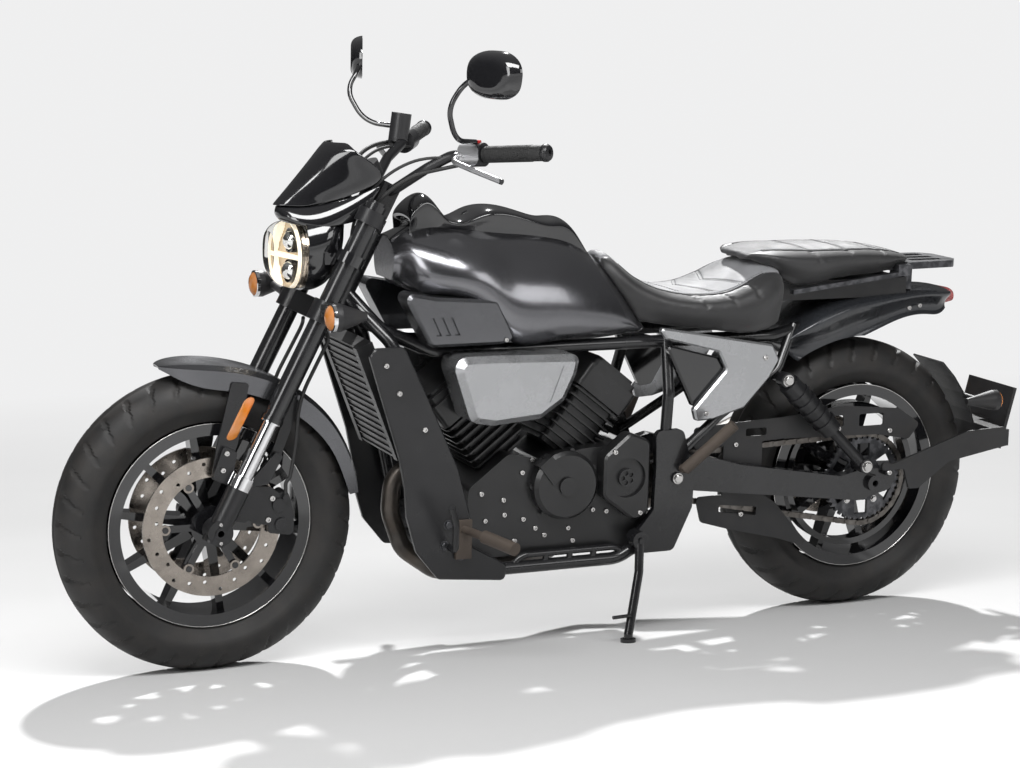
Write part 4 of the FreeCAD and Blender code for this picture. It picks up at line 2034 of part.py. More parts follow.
def foot_levers(cover_y):
    """The gear lever on the left and the brake pedal with its pad on the right."""
    root = V(lever_root_x, cover_y, lever_root_z)
    elbow = root + V(0, lever_outset, 0)
    gear = pipe([root, elbow, elbow + V(lever_knee_ahead, lever_outset, lever_knee_rise),
                 elbow + V(lever_tip_ahead, lever_tip_outset,
                           lever_tip_rise)], lever_rod_radius, lever_bend / 2)
    pad = elbow + V(lever_tip_ahead + lever_knee_ahead, lever_tip_outset, lever_knee_rise)
    pedal = fuse([pipe([root, elbow, elbow + V(lever_knee_ahead, lever_outset, lever_knee_rise / 2), pad],
                       lever_rod_radius, lever_bend / 2),
                  box(pad.x - pedal_length / 2, pad.x + pedal_length / 2, pad.y - pedal_width / 2,
                      pad.y + pedal_width / 2, pad.z, pad.z + pedal_thickness)])
    return gear, mirrored(pedal)


def side_stand():
    """A leg with its hub on the frame's pin, an ankle, a prong and a foot flat on the floor."""
    floor_z = stand_foot_y * math.tan(lean)
    top, down = V(stand_x, stand_y, stand_z), V(stand_foot_x, stand_foot_y, floor_z)
    knee = top + V(stand_knee_ahead, stand_ankle, -stand_knee_drop)
    leg = pipe([top, knee, down + V(0, 0, stand_ankle)], stand_tube_radius, stand_bend)
    pad = cylinder(V(0, 0, 0), V(0, 0, stand_foot_thickness), stand_foot_radius)
    pad.rotate(V(0, 0, 0), V(1, 0, 0), lean_angle)
    pad.translate(down)
    ankle = cylinder(down + V(0, 0, stand_foot_thickness / 2), down + V(0, 0,
                                                    stand_ankle + stand_foot_thickness / 2),
                     stand_tube_radius)
    hub = across(stand_x, stand_z, stand_y - stand_hub_width / 2, stand_y + stand_hub_width / 2,
                 stand_hub_radius)
    prong_root = down + V(-stand_tube_radius / 2, 0, stand_prong_rise)
    prong = cylinder(prong_root, prong_root + V(stand_prong_length, stand_prong_radius, 0),
                     stand_prong_radius)
    bore = across(stand_x, stand_z, stand_y - stand_hub_width, stand_y + stand_hub_width,
                  stand_pin_radius + clearance)
    return fuse([leg, hub, pad, ankle, prong]).cut(bore)


def carried_nodes():
    cover_y = cover_outer_y + clearance
    gear, pedal = foot_levers(cover_y)
    return {"plate_holder": [plate_holder()], "rear_signals": rear_signals(), "footrests": footrests(cover_y),
            "gear_lever": [gear], "brake_pedal": [pedal], "side_stand": [side_stand()]}


def place(shape):
    leaned = shape.copy()
    leaned.rotate(V(0, 0, 0), V(1, 0, 0), -lean_angle)
    return leaned


nodes = {}
for make in (front_wheel_nodes, rear_wheel_nodes, fork_nodes, handlebar_nodes, head_nodes, front_brake_nodes,
             brake_hoses, frame_nodes, engine_nodes, body_nodes, rear_nodes, carried_nodes):
    nodes.update(make())

compounds = {}
for name, solids in nodes.items():
    pieces = []
    for solid in solids:
        pieces += [place(piece) for piece in solid.Solids]
    compounds[name] = Part.makeCompound(pieces)
    if not compounds[name].isValid() or len(pieces) != len(solids):
        print(name, "valid", compounds[name].isValid(), "solids", len(pieces), "of", len(solids))

bounds = [shape.optimalBoundingBox(True, False) for shape in compounds.values()]
x_mid = (min(b.XMin for b in bounds) + max(b.XMax for b in bounds)) / 2
y_mid = (min(b.YMin for b in bounds) + max(b.YMax for b in bounds)) / 2
floor = min(b.ZMin for b in bounds)
for name, compound in compounds.items():
    compound.translate(V(-x_mid, -y_mid, -floor))
    compound.exportStep("parts/" + name + ".step")
print("nodes", len(compounds), "length", max(b.XMax for b in bounds) - min(b.XMin for b in bounds),
      "width", max(b.YMax for b in bounds) - min(b.YMin for b in bounds),
      "height", max(b.ZMax for b in bounds) - floor, "shift", x_mid, y_mid, floor)
for name, b in zip(compounds, bounds):
    if b.ZMin < floor + 1:
        print("on the floor", name, b.ZMin - floor)
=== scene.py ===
import json
import math

import bmesh
import bpy
from mathutils import Matrix, Vector
from mathutils.bvhtree import BVHTree


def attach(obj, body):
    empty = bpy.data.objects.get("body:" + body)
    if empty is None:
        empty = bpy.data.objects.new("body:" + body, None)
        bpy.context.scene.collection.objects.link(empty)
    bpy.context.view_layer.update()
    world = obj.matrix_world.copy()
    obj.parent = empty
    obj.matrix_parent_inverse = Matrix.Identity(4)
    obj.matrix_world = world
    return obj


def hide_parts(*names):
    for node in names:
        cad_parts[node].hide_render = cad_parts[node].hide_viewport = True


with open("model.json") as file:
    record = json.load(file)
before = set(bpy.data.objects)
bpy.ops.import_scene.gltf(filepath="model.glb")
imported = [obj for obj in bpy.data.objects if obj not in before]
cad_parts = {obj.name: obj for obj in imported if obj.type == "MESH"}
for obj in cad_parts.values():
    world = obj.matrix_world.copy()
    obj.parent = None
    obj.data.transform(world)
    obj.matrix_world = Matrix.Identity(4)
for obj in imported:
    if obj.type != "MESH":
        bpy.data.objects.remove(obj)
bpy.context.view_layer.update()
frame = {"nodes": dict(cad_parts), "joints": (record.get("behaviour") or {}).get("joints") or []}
joints = {joint["name"]: joint for joint in frame["joints"]}

# The bike's own upright frame in metres: +X ahead, +Y rider's left, +Z up, origin between the axles.
FRONT_AXLE = Vector((0.779, 0, 0.319124))
REAR_AXLE = Vector((-0.779, 0, 0.319285))
axle_way = Vector(joints["front_wheel_spin"]["axis"]).normalized()
up_way = Vector((1, 0, 0)).cross(axle_way)
turn = Matrix(((1, 0, 0), axle_way, up_way)).transposed()
BIKE = Matrix.Translation(Vector(joints["front_wheel_spin"]["pos_m"]) - turn @ FRONT_AXLE) @ turn.to_4x4()
BIKE_BACK = BIKE.inverted()
LEFT, AHEAD, UP = Vector((0, 1, 0)), Vector((1, 0, 0)), Vector((0, 0, 1))
BOTH = (1, -1)

# The fork leans back by its rake; its places are given up and ahead of its foot.
RAKE = math.radians(27)
FORK_WAY = Vector((-math.sin(RAKE), 0, math.cos(RAKE)))
FORK_AHEAD = Vector((math.cos(RAKE), 0, math.sin(RAKE)))
FORK_FOOT = Vector((0.7345, 0, 0.2964))
SLIDER_TOP, SEAL_HEIGHT = 0.098, 0.251
TUBE_BACK, TUBE_FRONT = 0.026, 0.073
FORK_SEAL = FORK_FOOT + FORK_WAY * SEAL_HEIGHT

LAMP_MIDDLE = Vector((0.5790, 0, 0.8740))
FRONT_SIGNAL = Vector((0.5878, 0.252, 0.7786))
REAR_SIGNAL = Vector((-1.1204, 0.128, 0.4923))
MIRROR_MIDDLE = Vector((0.2985, 0.378, 1.2662))
MIRROR_TURN = math.radians(20)
GRIP_START, GRIP_END = Vector((0.250, 0.208, 1.096)), Vector((0.165, 0.333, 1.109))
ABOVE = 1.6
BACKDROP = (0.865, 0.865, 0.868, 1)


# Materials

class Shading:
    """Builds one node material step by step on the Principled shader."""

    def __init__(self, name):
        self.material = bpy.data.materials.new(name)
        self.material.use_nodes = True
        self.nodes = self.material.node_tree.nodes
        self.links = self.material.node_tree.links
        self.shader = self.nodes["Principled BSDF"]
        self.coords = self.node("ShaderNodeTexCoord").outputs["Object"]

    def node(self, kind, **inputs):
        made = self.nodes.new(kind)
        for key, value in inputs.items():
            name = key.replace("_", " ")
            if hasattr(value, "is_linked") or isinstance(value, bpy.types.NodeSocket):
                self.links.new(value, made.inputs[name])
            else:
                made.inputs[name].default_value = value
        return made

    def noise(self, scale, detail=3.0, vector=None, rough=0.5):
        made = self.node("ShaderNodeTexNoise", Scale=scale, Detail=detail, Roughness=rough)
        self.links.new(vector or self.coords, made.inputs["Vector"])
        return made.outputs["Fac"]

    def ramp(self, value, start, end, low, high):
        made = self.node("ShaderNodeMapRange")
        self.links.new(value, made.inputs["Value"])
        for key, number in (("From Min", start), ("From Max", end), ("To Min", low), ("To Max", high)):
            made.inputs[key].default_value = number
        return made.outputs["Result"]

    def mix(self, share, first, second):
        made = self.nodes.new("ShaderNodeMix")
        made.data_type = "RGBA"
        for socket, value in ((made.inputs[0], share), (made.inputs[6], first), (made.inputs[7], second)):
            if isinstance(value, bpy.types.NodeSocket):
                self.links.new(value, socket)
            elif isinstance(value, float):
                socket.default_value = value
            else:
                socket.default_value = (*value, 1)
        return made.outputs[2]

    def math(self, kind, first, second=0.0):
        made = self.nodes.new("ShaderNodeMath")
        made.operation = kind
        for socket, value in zip(made.inputs, (first, second)):
            if isinstance(value, bpy.types.NodeSocket):
                self.links.new(value, socket)
            else:
                socket.default_value = value
        return made.outputs[0]

    def blend(self, share, first, second):
        made = self.nodes.new("ShaderNodeMix")
        for socket, value in zip(made.inputs[:1] + made.inputs[2:4], (share, first, second)):
            if isinstance(value, bpy.types.NodeSocket):
                self.links.new(value, socket)
            else:
                socket.default_value = value
        return made.outputs[0]

    def within(self, planes):
        """1 where the point lies beyond every plane, each a direction and a point in the bike's frame."""
        share = None
        for way, place in planes:
            way = turn @ Vector(way).normalized()
            dot = self.nodes.new("ShaderNodeVectorMath")
            dot.operation = "DOT_PRODUCT"
            self.links.new(self.coords, dot.inputs[0])
            dot.inputs[1].default_value = way
            beyond = self.math("GREATER_THAN", dot.outputs["Value"], way.dot(BIKE @ Vector(place)))
            share = beyond if share is None else self.math("MULTIPLY", share, beyond)
        return share

    def stretched(self, factors):
        made = self.node("ShaderNodeMapping")
        self.links.new(self.coords, made.inputs["Vector"])
        made.inputs["Scale"].default_value = factors
        return made.outputs["Vector"]

    def bump(self, height, strength, distance=0.0006):
        made = self.node("ShaderNodeBump", Strength=strength, Distance=distance)
        self.links.new(height, made.inputs["Height"])
        before = self.shader.inputs["Normal"]
        if before.is_linked:
            self.links.new(before.links[0].from_socket, made.inputs["Normal"])
        self.links.new(made.outputs["Normal"], before)


def finish_for(name, colour, roughness, metallic=0.0, coat=0.0, variation=0.18, blotch=9.0, grain=900.0, bump=0.12,
               edge=None, dust=0.0, dust_colour=(0.20, 0.16, 0.125), stretch=None, flake=0.0, split=None):
    """A material with uneven tone, fine grain, worn edges and a little dust."""
    made = Shading(name)
    shader = made.shader
    dark = tuple(channel * (1 - variation) for channel in colour)
    light = tuple(min(1.0, channel * (1 + variation)) for channel in colour)
    tone = made.mix(made.ramp(made.noise(blotch, 5.0), 0.32, 0.68, 0.0, 1.0), dark, light)
    vector = made.stretched(stretch) if stretch else None
    fine = made.noise(grain, 4.0, vector)
    if flake:
        sparkle = made.ramp(made.noise(grain * 3, 1.0), 0.62, 0.75, 0.0, flake)
        tone = made.mix(sparkle, tone, (0.8, 0.8, 0.82))
    if edge:
        point = made.nodes.new("ShaderNodeNewGeometry").outputs["Pointiness"]
        worn = made.math("MULTIPLY", made.ramp(point, 0.52, 0.60, 0.0, 0.75),
                         made.ramp(made.noise(60.0), 0.42, 0.62, 0.0, 1.0))
        tone = made.mix(worn, tone, edge)
    if dust:
        settled = made.ramp(made.noise(22.0, 6.0), 0.40, 0.75, 0.0, dust)
        tone = made.mix(settled, tone, dust_colour)
    made.links.new(tone, shader.inputs["Base Color"])
    spread = 0.07 if roughness > 0.15 else 0.02
    shine = made.math("ADD", made.ramp(fine, 0.3, 0.7, -spread / 2, spread / 2),
                      made.ramp(made.noise(blotch * 1.7), 0.3, 0.7, max(0.02, roughness - spread),
                                roughness + spread))
    if split:
        planes, other, other_roughness, other_metallic = split
        share = made.within(planes)
        tone = made.mix(share, tone, other)
        shine = made.blend(share, shine, other_roughness)
        made.links.new(made.blend(share, metallic, other_metallic), shader.inputs["Metallic"])
        made.links.new(tone, shader.inputs["Base Color"])
    else:
        shader.inputs["Metallic"].default_value = metallic
    made.links.new(shine, shader.inputs["Roughness"])
    shader.inputs["Coat Weight"].default_value = coat
    shader.inputs["Coat Roughness"].default_value = 0.06
    if bump:
        made.bump(fine, bump)
    return made


def leather(name, colour, roughness, cell, depth, weave=0.0):
    """Grained leather, or a woven top where weave is set."""
    made = finish_for(name, colour, roughness, variation=0.22, blotch=14.0, grain=1500.0, bump=0.08)
    cells = made.node("ShaderNodeTexVoronoi", Scale=cell)
    made.links.new(made.coords, cells.inputs["Vector"])
    made.bump(cells.outputs["Distance"], depth, 0.0009)
    if weave:
        wave = made.node("ShaderNodeTexWave", Scale=weave, Distortion=0.4)
        made.links.new(made.coords, wave.inputs["Vector"])
        made.bump(wave.outputs["Fac"], 0.35, 0.0006)
    made.shader.inputs["Sheen Weight"].default_value = 0.15
    return made


def clear_lens(name, colour, strength):
    """Tinted clear plastic with fine moulded ribs inside."""
    made = Shading(name)
    made.links.new(made.mix(made.ramp(made.noise(40.0), 0.3, 0.7, 0.0, 0.25), colour, (1.0, 1.0, 1.0)),
                   made.shader.inputs["Base Color"])
    made.shader.inputs["Roughness"].default_value = 0.04
    made.shader.inputs["Transmission Weight"].default_value = strength
    made.shader.inputs["IOR"].default_value = 1.2
    wave = made.node("ShaderNodeTexWave", Scale=90.0)
    made.links.new(made.coords, wave.inputs["Vector"])
    made.bump(wave.outputs["Fac"], 0.06, 0.0005)
    return made


satin_black = finish_for("satin_black", (0.010, 0.010, 0.011), 0.34, bump=0.08).material
frame_black = finish_for("frame_black", (0.009, 0.009, 0.010), 0.26, coat=0.3, bump=0.05).material
engine_black = finish_for("engine_black", (0.011, 0.011, 0.0115), 0.36, grain=900.0, bump=0.1,
                          coat=0.1).material
gloss_black = finish_for("gloss_black", (0.008, 0.008, 0.009), 0.09, coat=0.9, grain=1500.0, bump=0.01).material
plastic = finish_for("moulded_plastic", (0.014, 0.014, 0.015), 0.46, grain=1300.0, bump=0.3, dust=0.03).material
graphite = finish_for("graphite_paint", (0.110, 0.111, 0.118), 0.25, 0.90, 0.45, variation=0.06, blotch=4.0,
                      grain=2200.0, bump=0.03, flake=0.10).material
tank_paint = finish_for("tank_paint", (0.150, 0.150, 0.160), 0.24, 0.92, 0.55, variation=0.05, blotch=3.0,
                        grain=2400.0, bump=0.02, flake=0.12).material
silver = finish_for("satin_silver", (0.40, 0.405, 0.415), 0.28, 0.88, 0.25, variation=0.02, grain=1800.0, bump=0.04,
                    flake=0.10).material
tyre_rubber = finish_for("tyre_rubber", (0.0105, 0.0100, 0.0098), 0.62, grain=420.0, bump=0.35, dust=0.22,
                         dust_colour=(0.050, 0.040, 0.032)).material
soft_rubber = finish_for("soft_rubber", (0.016, 0.016, 0.016), 0.62, grain=900.0, bump=0.25).material
brown_rubber = finish_for("brown_rubber", (0.060, 0.046, 0.036), 0.7, grain=700.0, bump=0.3).material
disc_steel = finish_for("disc_steel", (0.34, 0.305, 0.27), 0.27, 1.0, variation=0.16, blotch=30.0, grain=90.0,
                        bump=0.12, stretch=(14.0, 1.0, 14.0)).material
bright_steel = finish_for("bright_steel", (0.55, 0.54, 0.53), 0.24, 1.0, variation=0.1, grain=900.0,
                          bump=0.06).material
chrome = finish_for("chrome", (0.78, 0.78, 0.79), 0.07, 1.0, variation=0.04, bump=0.0).material
fork_finish = finish_for("fork_tubes_finish", (0.012, 0.012, 0.013), 0.22, coat=0.4, grain=1200.0, bump=0.03,
                         split=(((-FORK_WAY, FORK_SEAL),), (0.72, 0.72, 0.73), 0.09, 1.0)).material
control_finish = finish_for("control_finish", (0.016, 0.016, 0.017), 0.36, grain=1000.0, bump=0.12,
                            split=(((AHEAD, (0.2665, 0, 0)), (LEFT, (0, 0, 0))),
                                   (0.52, 0.52, 0.53), 0.30, 0.9)).material
slider_finish = finish_for("slider_finish", (0.010, 0.010, 0.011), 0.34, bump=0.08,
                           split=(((FORK_WAY, FORK_FOOT + FORK_WAY * SLIDER_TOP), (-FORK_WAY, FORK_SEAL),
                                   (FORK_AHEAD, FORK_FOOT + FORK_AHEAD * TUBE_BACK),
                                   (-FORK_AHEAD, FORK_FOOT + FORK_AHEAD * TUBE_FRONT)),
                                  (0.72, 0.72, 0.73), 0.10, 1.0)).material
chain_steel = finish_for("chain_steel", (0.15, 0.14, 0.13), 0.38, 1.0, variation=0.3, blotch=60.0, grain=700.0,
                         bump=0.2, dust=0.3, dust_colour=(0.05, 0.035, 0.025)).material
header_steel = finish_for("header_steel", (0.075, 0.068, 0.062), 0.36, 0.8, variation=0.35, blotch=18.0,
                          grain=700.0, bump=0.12, dust=0.2, dust_colour=(0.16, 0.11, 0.07)).material
dark_metal = finish_for("dark_metal", (0.045, 0.046, 0.050), 0.34, 0.7, edge=(0.16, 0.16, 0.17)).material
seat_side = leather("seat_leather", (0.017, 0.0168, 0.0175), 0.46, 520.0, 0.30).material
seat_top = leather("seat_top_grey", (0.190, 0.192, 0.200), 0.50, 900.0, 0.22, 260.0).material
pillion_top = leather("passenger_top", (0.045, 0.046, 0.049), 0.48, 900.0, 0.22, 260.0).material
thread = leather("stitch_thread", (0.115, 0.115, 0.12), 0.7, 900.0, 0.2).material
clear = clear_lens("clear_lens", (1.0, 0.985, 0.95), 1.0).material
amber = clear_lens("amber_lens", (1.0, 0.33, 0.03), 0.55).material
ruby = clear_lens("ruby_lens", (0.55, 0.010, 0.008), 0.45).material
warm_reflector = finish_for("warm_reflector", (0.60, 0.52, 0.43), 0.16, 0.95, variation=0.05, bump=0.0).material
mirror_glass = finish_for("mirror_glass", (0.86, 0.87, 0.88), 0.025, 1.0, variation=0.02, bump=0.0).material
red_plastic = finish_for("red_plastic", (0.42, 0.012, 0.010), 0.35, bump=0.05).material
tail_dark = finish_for("tail_graphite", (0.026, 0.028, 0.032), 0.26, 0.35, 0.5, variation=0.1, grain=2200.0,
                       bump=0.03, flake=0.05).material

NODE_FINISH = {
    "fuel_tank": tank_paint, "front_fender": graphite, "tank_scoops": graphite, "tank_console": gloss_black,
    "side_covers": silver, "intake_covers": silver, "side_panels": gloss_black, "tail_fairing": tail_dark,
    "headlamp_shell": gloss_black, "flyscreen": gloss_black, "mirrors": gloss_black,
    "front_discs": disc_steel, "rear_disc": disc_steel, "fork_tubes": fork_finish, "fork_clamps": satin_black,
    "fork_sliders": slider_finish, "handlebar": satin_black, "grips": soft_rubber, "hand_controls": control_finish,
    "gauge": plastic, "front_signals": plastic, "rear_signals": plastic, "crankcase": engine_black,
    "front_cylinder": engine_black, "rear_cylinder": engine_black, "engine_covers": engine_black,
    "exhaust": header_steel, "radiator": engine_black, "main_frame": frame_black, "frame_covers": satin_black,
    "drive_chain": chain_steel, "rear_sprocket": dark_metal, "drive_sprocket": chain_steel,
    "swingarm": frame_black, "rear_shocks": satin_black, "chain_guards": plastic, "plate_holder": plastic,
    "luggage_rack": dark_metal, "seat_base": plastic, "footrests": brown_rubber, "gear_lever": satin_black,
    "brake_pedal": satin_black, "side_stand": frame_black, "front_rim": gloss_black, "rear_rim": gloss_black,
    "front_calipers": satin_black, "rear_caliper": satin_black, "brake_hoses": soft_rubber, "tail_lamp": ruby,
    "front_tyre": tyre_rubber, "rear_tyre": tyre_rubber, "headlamp_lens": clear, "rider_seat": seat_side,
    "passenger_seat": seat_side}


def paint(node, material):
    mesh = frame["nodes"][node].data
    mesh.materials.clear()
    mesh.materials.append(material)


for node_name in frame["nodes"]:
    paint(node_name, NODE_FINISH.get(node_name, satin_black))


# Mesh building, in the bike's frame

def add(name, shape, material, body, sharp=35.0, extra=()):
    """Makes one piece of (points, faces) in the bike's frame and lets it ride on a body."""
    points, faces = shape
    mesh = bpy.data.meshes.new(name)
    mesh.from_pydata([tuple(BIKE @ Vector(point)) for point in points], [], faces)
    work = bmesh.new()
    work.from_mesh(mesh)
    bmesh.ops.recalc_face_normals(work, faces=work.faces)
    work.to_mesh(mesh)
    work.free()
    for finish in (material, *extra):
        mesh.materials.append(finish)
    mesh.shade_smooth()
    mesh.set_sharp_from_angle(angle=math.radians(sharp))
    piece = bpy.data.objects.new(name, mesh)
    bpy.context.scene.collection.objects.link(piece)
    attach(piece, body)
    return piece


def merged(shapes):
    points, faces = [], []
    for some_points, some_faces in shapes:
        start = len(points)
        points += some_points
        faces += [tuple(start + index for index in face) for face in some_faces]
    return points, faces


def lathe(profile, place, way, count=24, hexed=()):
    """A turned form: (radius, height) pairs along way from place, with hexagonal rings where asked."""
    way = Vector(way).normalized()
    side = way.cross(UP if abs(way.z) < 0.9 else AHEAD).normalized()
    rise = way.cross(side)
    points, rings = [], []
    for number, (radius, height) in enumerate(profile):
        middle = Vector(place) + way * height
        if radius < 1e-7:
            rings.append([len(points)])
            points.append(middle)
            continue
        ring = []
        for step in range(count):
            angle = 2 * math.pi * step / count
            reach = radius
            if number in hexed:
                reach *= math.cos(math.pi / 6) / math.cos(angle % (math.pi / 3) - math.pi / 6)
            ring.append(len(points))
            points.append(middle + (side * math.cos(angle) + rise * math.sin(angle)) * reach)
        rings.append(ring)
    faces = []
    for first, second in zip(rings, rings[1:]):
        if len(first) == 1 and len(second) == 1:
            continue
        for step in range(count):
            after = (step + 1) % count
            if len(first) == 1:
                faces.append((first[0], second[after], second[step]))
            elif len(second) == 1:
                faces.append((first[step], first[after], second[0]))
            else:
                faces.append((first[step], first[after], second[after], second[step]))
    return points, faces


def ring_band(radius, width, height, place, way, count=96):
    """A closed ring of rectangular section with its corners broken."""
    cut = min(width, height) * 0.25
    profile = [(radius, -width / 2 + cut), (radius, width / 2 - cut), (radius - cut, width / 2),
               (radius - height + cut, width / 2), (radius - height, width / 2 - cut),
               (radius - height, -width / 2 + cut), (radius - height + cut, -width / 2),
               (radius - cut, -width / 2), (radius, -width / 2 + cut)]
    return lathe(profile, place, way, count)


def socket_bolt(place, way, radius):
    profile = [(0, -0.3 * radius), (radius, -0.3 * radius), (radius, 0.5 * radius), (0.84 * radius, 0.72 * radius),
               (0.5 * radius, 0.72 * radius), (0.48 * radius, 0.35 * radius), (0, 0.35 * radius)]
    return lathe(profile, place, way, 18, (4, 5))


def hex_bolt(place, way, radius):
    profile = [(0, -0.3 * radius), (1.25 * radius, -0.3 * radius), (1.25 * radius, 0.12 * radius),
               (radius, 0.14 * radius), (radius, 0.62 * radius), (0.8 * radius, 0.72 * radius), (0, 0.72 * radius)]
    return lathe(profile, place, way, 18, (3, 4))


trees = {}


def tree(node):
    """The CAD node's surface in the bike's frame, to seat pieces on."""
    if node not in trees:
        mesh = frame["nodes"][node].data
        trees[node] = BVHTree.FromPolygons([BIKE_BACK @ vertex.co for vertex in mesh.vertices],
                                           [tuple(face.vertices) for face in mesh.polygons])
    return trees[node]


def seat_on(node, x, z, side=1, start=0.6):
    """Where a line in from the left or right first meets the node."""
    place, normal, _, _ = tree(node).ray_cast(Vector((x, side * start, z)), Vector((0, -side, 0)))
    return place, normal


def bolts(name, nodes, places, radius, material, body="frame", kind=socket_bolt, sides=(1,),
          start=0.6):
    """Bolts seated on CAD nodes by lines in from the side."""
    shapes = []
    for x, z in places:
        for side in sides:
            found = [seat_on(node, x, z, side, start)[0] for node in nodes]
            found = [place for place in found if place]
            if found:
                place = max(found, key=lambda point: point.y * side)
                shapes.append(kind(place, Vector((0, side, 0)), radius))
    if shapes:
        return add(name, merged(shapes), material, body)
    return None


def bar(name, points, radius, material, body, closed=False, sides=3):
    """A smooth round bar through points given in the bike's frame."""
    data = bpy.data.curves.new(name, "CURVE")
    data.dimensions = "3D"
    data.bevel_depth = radius
    data.bevel_resolution = sides
    data.resolution_u = 6
    data.use_fill_caps = True
    spline = data.splines.new("NURBS")
    spline.points.add(len(points) - 1)
    for point, place in zip(spline.points, points):
        point.co = (*(BIKE @ Vector(place)), 1)
    spline.use_cyclic_u = closed
    spline.order_u = 3
    spline.use_endpoint_u = not closed
    data.materials.append(material)
    piece = bpy.data.objects.new(name, data)
    bpy.context.scene.collection.objects.link(piece)
    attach(piece, body)
    return piece


# Tyres

def tyre(name, node, axle, radius, half_width, body, groove_count):
    """A tyre with a grooved crown: slanted cuts on both sides of a plain middle rib."""
    steps, across_count = 480, 34
    rim_radius, bead_half = 0.2200, half_width * 0.70
    depth = 0.0050
    outline = []
    for number in range(across_count + 1):
        share = -1 + 2 * number / across_count
        angle = share * math.radians(104)
        wide = math.sin(angle)
        y = half_width * math.copysign(abs(wide) ** 0.92, wide)
        crown = radius - half_width * 0.78 * (1 - math.cos(angle * 0.80)) / (1 - math.cos(math.radians(83.2)))
        outline.append((y * (1.0 if abs(share) < 0.86 else 1 - (abs(share) - 0.86) * 0.9), crown, share))
    outline = [(-bead_half, rim_radius, -1.2)] + outline + [(bead_half, rim_radius, 1.2)]
    lowest = min(point[1] for point in outline[1:-1])
    scale_high = (radius - rim_radius) / (radius - lowest + 0.012)
    points, faces = [], []
    width = len(outline)
    for step in range(steps):
        turn_share = step / steps
        angle = 2 * math.pi * turn_share
        for y, high, share in outline:
            reach = radius - (radius - high) * (scale_high if abs(share) <= 1 else 1)
            side_share = abs(share)
            cut = 0.0
            if 0.12 < side_share < 0.66:
                phase = turn_share * groove_count + side_share * 0.9 + (0.5 if share > 0 else 0.0)
                if phase % 1 < 0.17:
                    cut = depth * min(1.0, (side_share - 0.10) * 9)
            if side_share < 0.035:
                cut = depth * 0.9
            if 0.66 < side_share < 0.685:
                cut = -0.0008
            reach -= cut
            points.append(axle + Vector((math.cos(angle) * reach, y, math.sin(angle) * reach)))
    for step in range(steps):
        row, after = step * width, ((step + 1) % steps) * width
        for number in range(width - 1):
            faces.append((row + number, row + number + 1, after + number + 1, after + number))
        faces.append((row + width - 1, row, after, after + width - 1))
    piece = add(name, (points, faces), tyre_rubber, body, 28.0)
    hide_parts(node)
    return piece


tyre("front_tyre_tread", "front_tyre", FRONT_AXLE, 0.3186, 0.0655, "front_wheel", 34)
tyre("rear_tyre_tread", "rear_tyre", REAR_AXLE, 0.3187, 0.0755, "rear_wheel", 30)


# Wheels and brakes

def wheel_dressing():
    for axle, half, body, name in ((FRONT_AXLE, 0.050, "front_wheel", "front"),
                                   (REAR_AXLE, 0.060, "rear_wheel", "rear")):
        # Painted highlight: a thin bright steel ring on each rim edge stands in for the highlight that the rim's edge
        # catches.
        lines = [ring_band(0.2172, 0.0012, 0.0016, axle + LEFT * side * (half + 0.0004), LEFT, 128)
                 for side in (-1, 1)]
        add(name + "_rim_highlight_ring", merged(lines), bright_steel, body)
    wheel_bolts = []
    bolt_circle, outside_disc = 0.0455, 0.075
    for side in BOTH:
        for number in range(6):
            angle = math.radians(60 * number + 12)
            found, _ = seat_on("front_discs", FRONT_AXLE.x + math.cos(angle) * bolt_circle,
                               FRONT_AXLE.z + math.sin(angle) * bolt_circle, side, outside_disc)
            if found:
                wheel_bolts.append(socket_bolt(found, LEFT * side, 0.0052))
    if wheel_bolts:
        add("front_disc_bolts", merged(wheel_bolts), bright_steel, "front_wheel")
    rear_bolts = []
    for number in range(5):
        angle = math.radians(72 * number + 20)
        for node, side, reach in (("rear_sprocket", 1, 0.062), ("rear_disc", -1, 0.052)):
            found, _ = seat_on(node, REAR_AXLE.x + math.cos(angle) * reach, REAR_AXLE.z + math.sin(angle) * reach,
                               side, 0.105)
            if found:
                rear_bolts.append(hex_bolt(found, LEFT * side, 0.0065))
    if rear_bolts:
        add("rear_hub_bolts", merged(rear_bolts), bright_steel, "rear_wheel")


wheel_dressing()
bolts("caliper_bolts", ("front_calipers",), ((0.642, 0.444), (0.642, 0.410), (0.655, 0.375), (0.664, 0.330)), 0.0065,
      bright_steel, "steering", sides=BOTH)
bolts("slider_bolts", ("fork_sliders",), ((0.757, 0.480), (0.765, 0.445)), 0.0060, bright_steel, "steering",
      sides=BOTH)
bolts("axle_ends", ("fork_sliders",), ((0.779, 0.3385), (0.779, 0.2995)), 0.0040, bright_steel, "steering",
      sides=BOTH)


# Engine and frame fittings

ENGINE_BOLTS = ((0.148, 0.343), (0.145, 0.310), (0.100, 0.297), (0.071, 0.275), (0.049, 0.258), (-0.008, 0.269),
                (-0.067, 0.306), (-0.070, 0.375), (0.082, 0.428), (0.105, 0.401), (0.057, 0.448), (-0.100, 0.440),
                (-0.165, 0.300), (-0.100, 0.300), (0.190, 0.300), (0.200, 0.360), (0.120, 0.250), (-0.020, 0.240))
bolts("engine_bolts", ("engine_covers", "crankcase"), ENGINE_BOLTS, 0.0058, bright_steel, sides=BOTH)
bolts("frame_cover_bolts", ("frame_covers",), ((0.295, 0.311), (0.303, 0.266), (0.266, 0.241)), 0.0085, dark_metal,
      kind=hex_bolt, sides=BOTH)
bolts("upper_cover_bolts", ("frame_covers",), ((0.352, 0.520), (0.410, 0.600), (0.440, 0.660)), 0.0060, bright_steel,
      sides=BOTH)
bolts("side_cover_bolts", ("side_covers",), ((-0.325, 0.512), (-0.470, 0.630)), 0.0060, bright_steel, sides=BOTH)
bolts("tail_bolts", ("tail_fairing",), ((-0.905, 0.712), (-0.935, 0.716)), 0.0055, bright_steel, sides=BOTH)
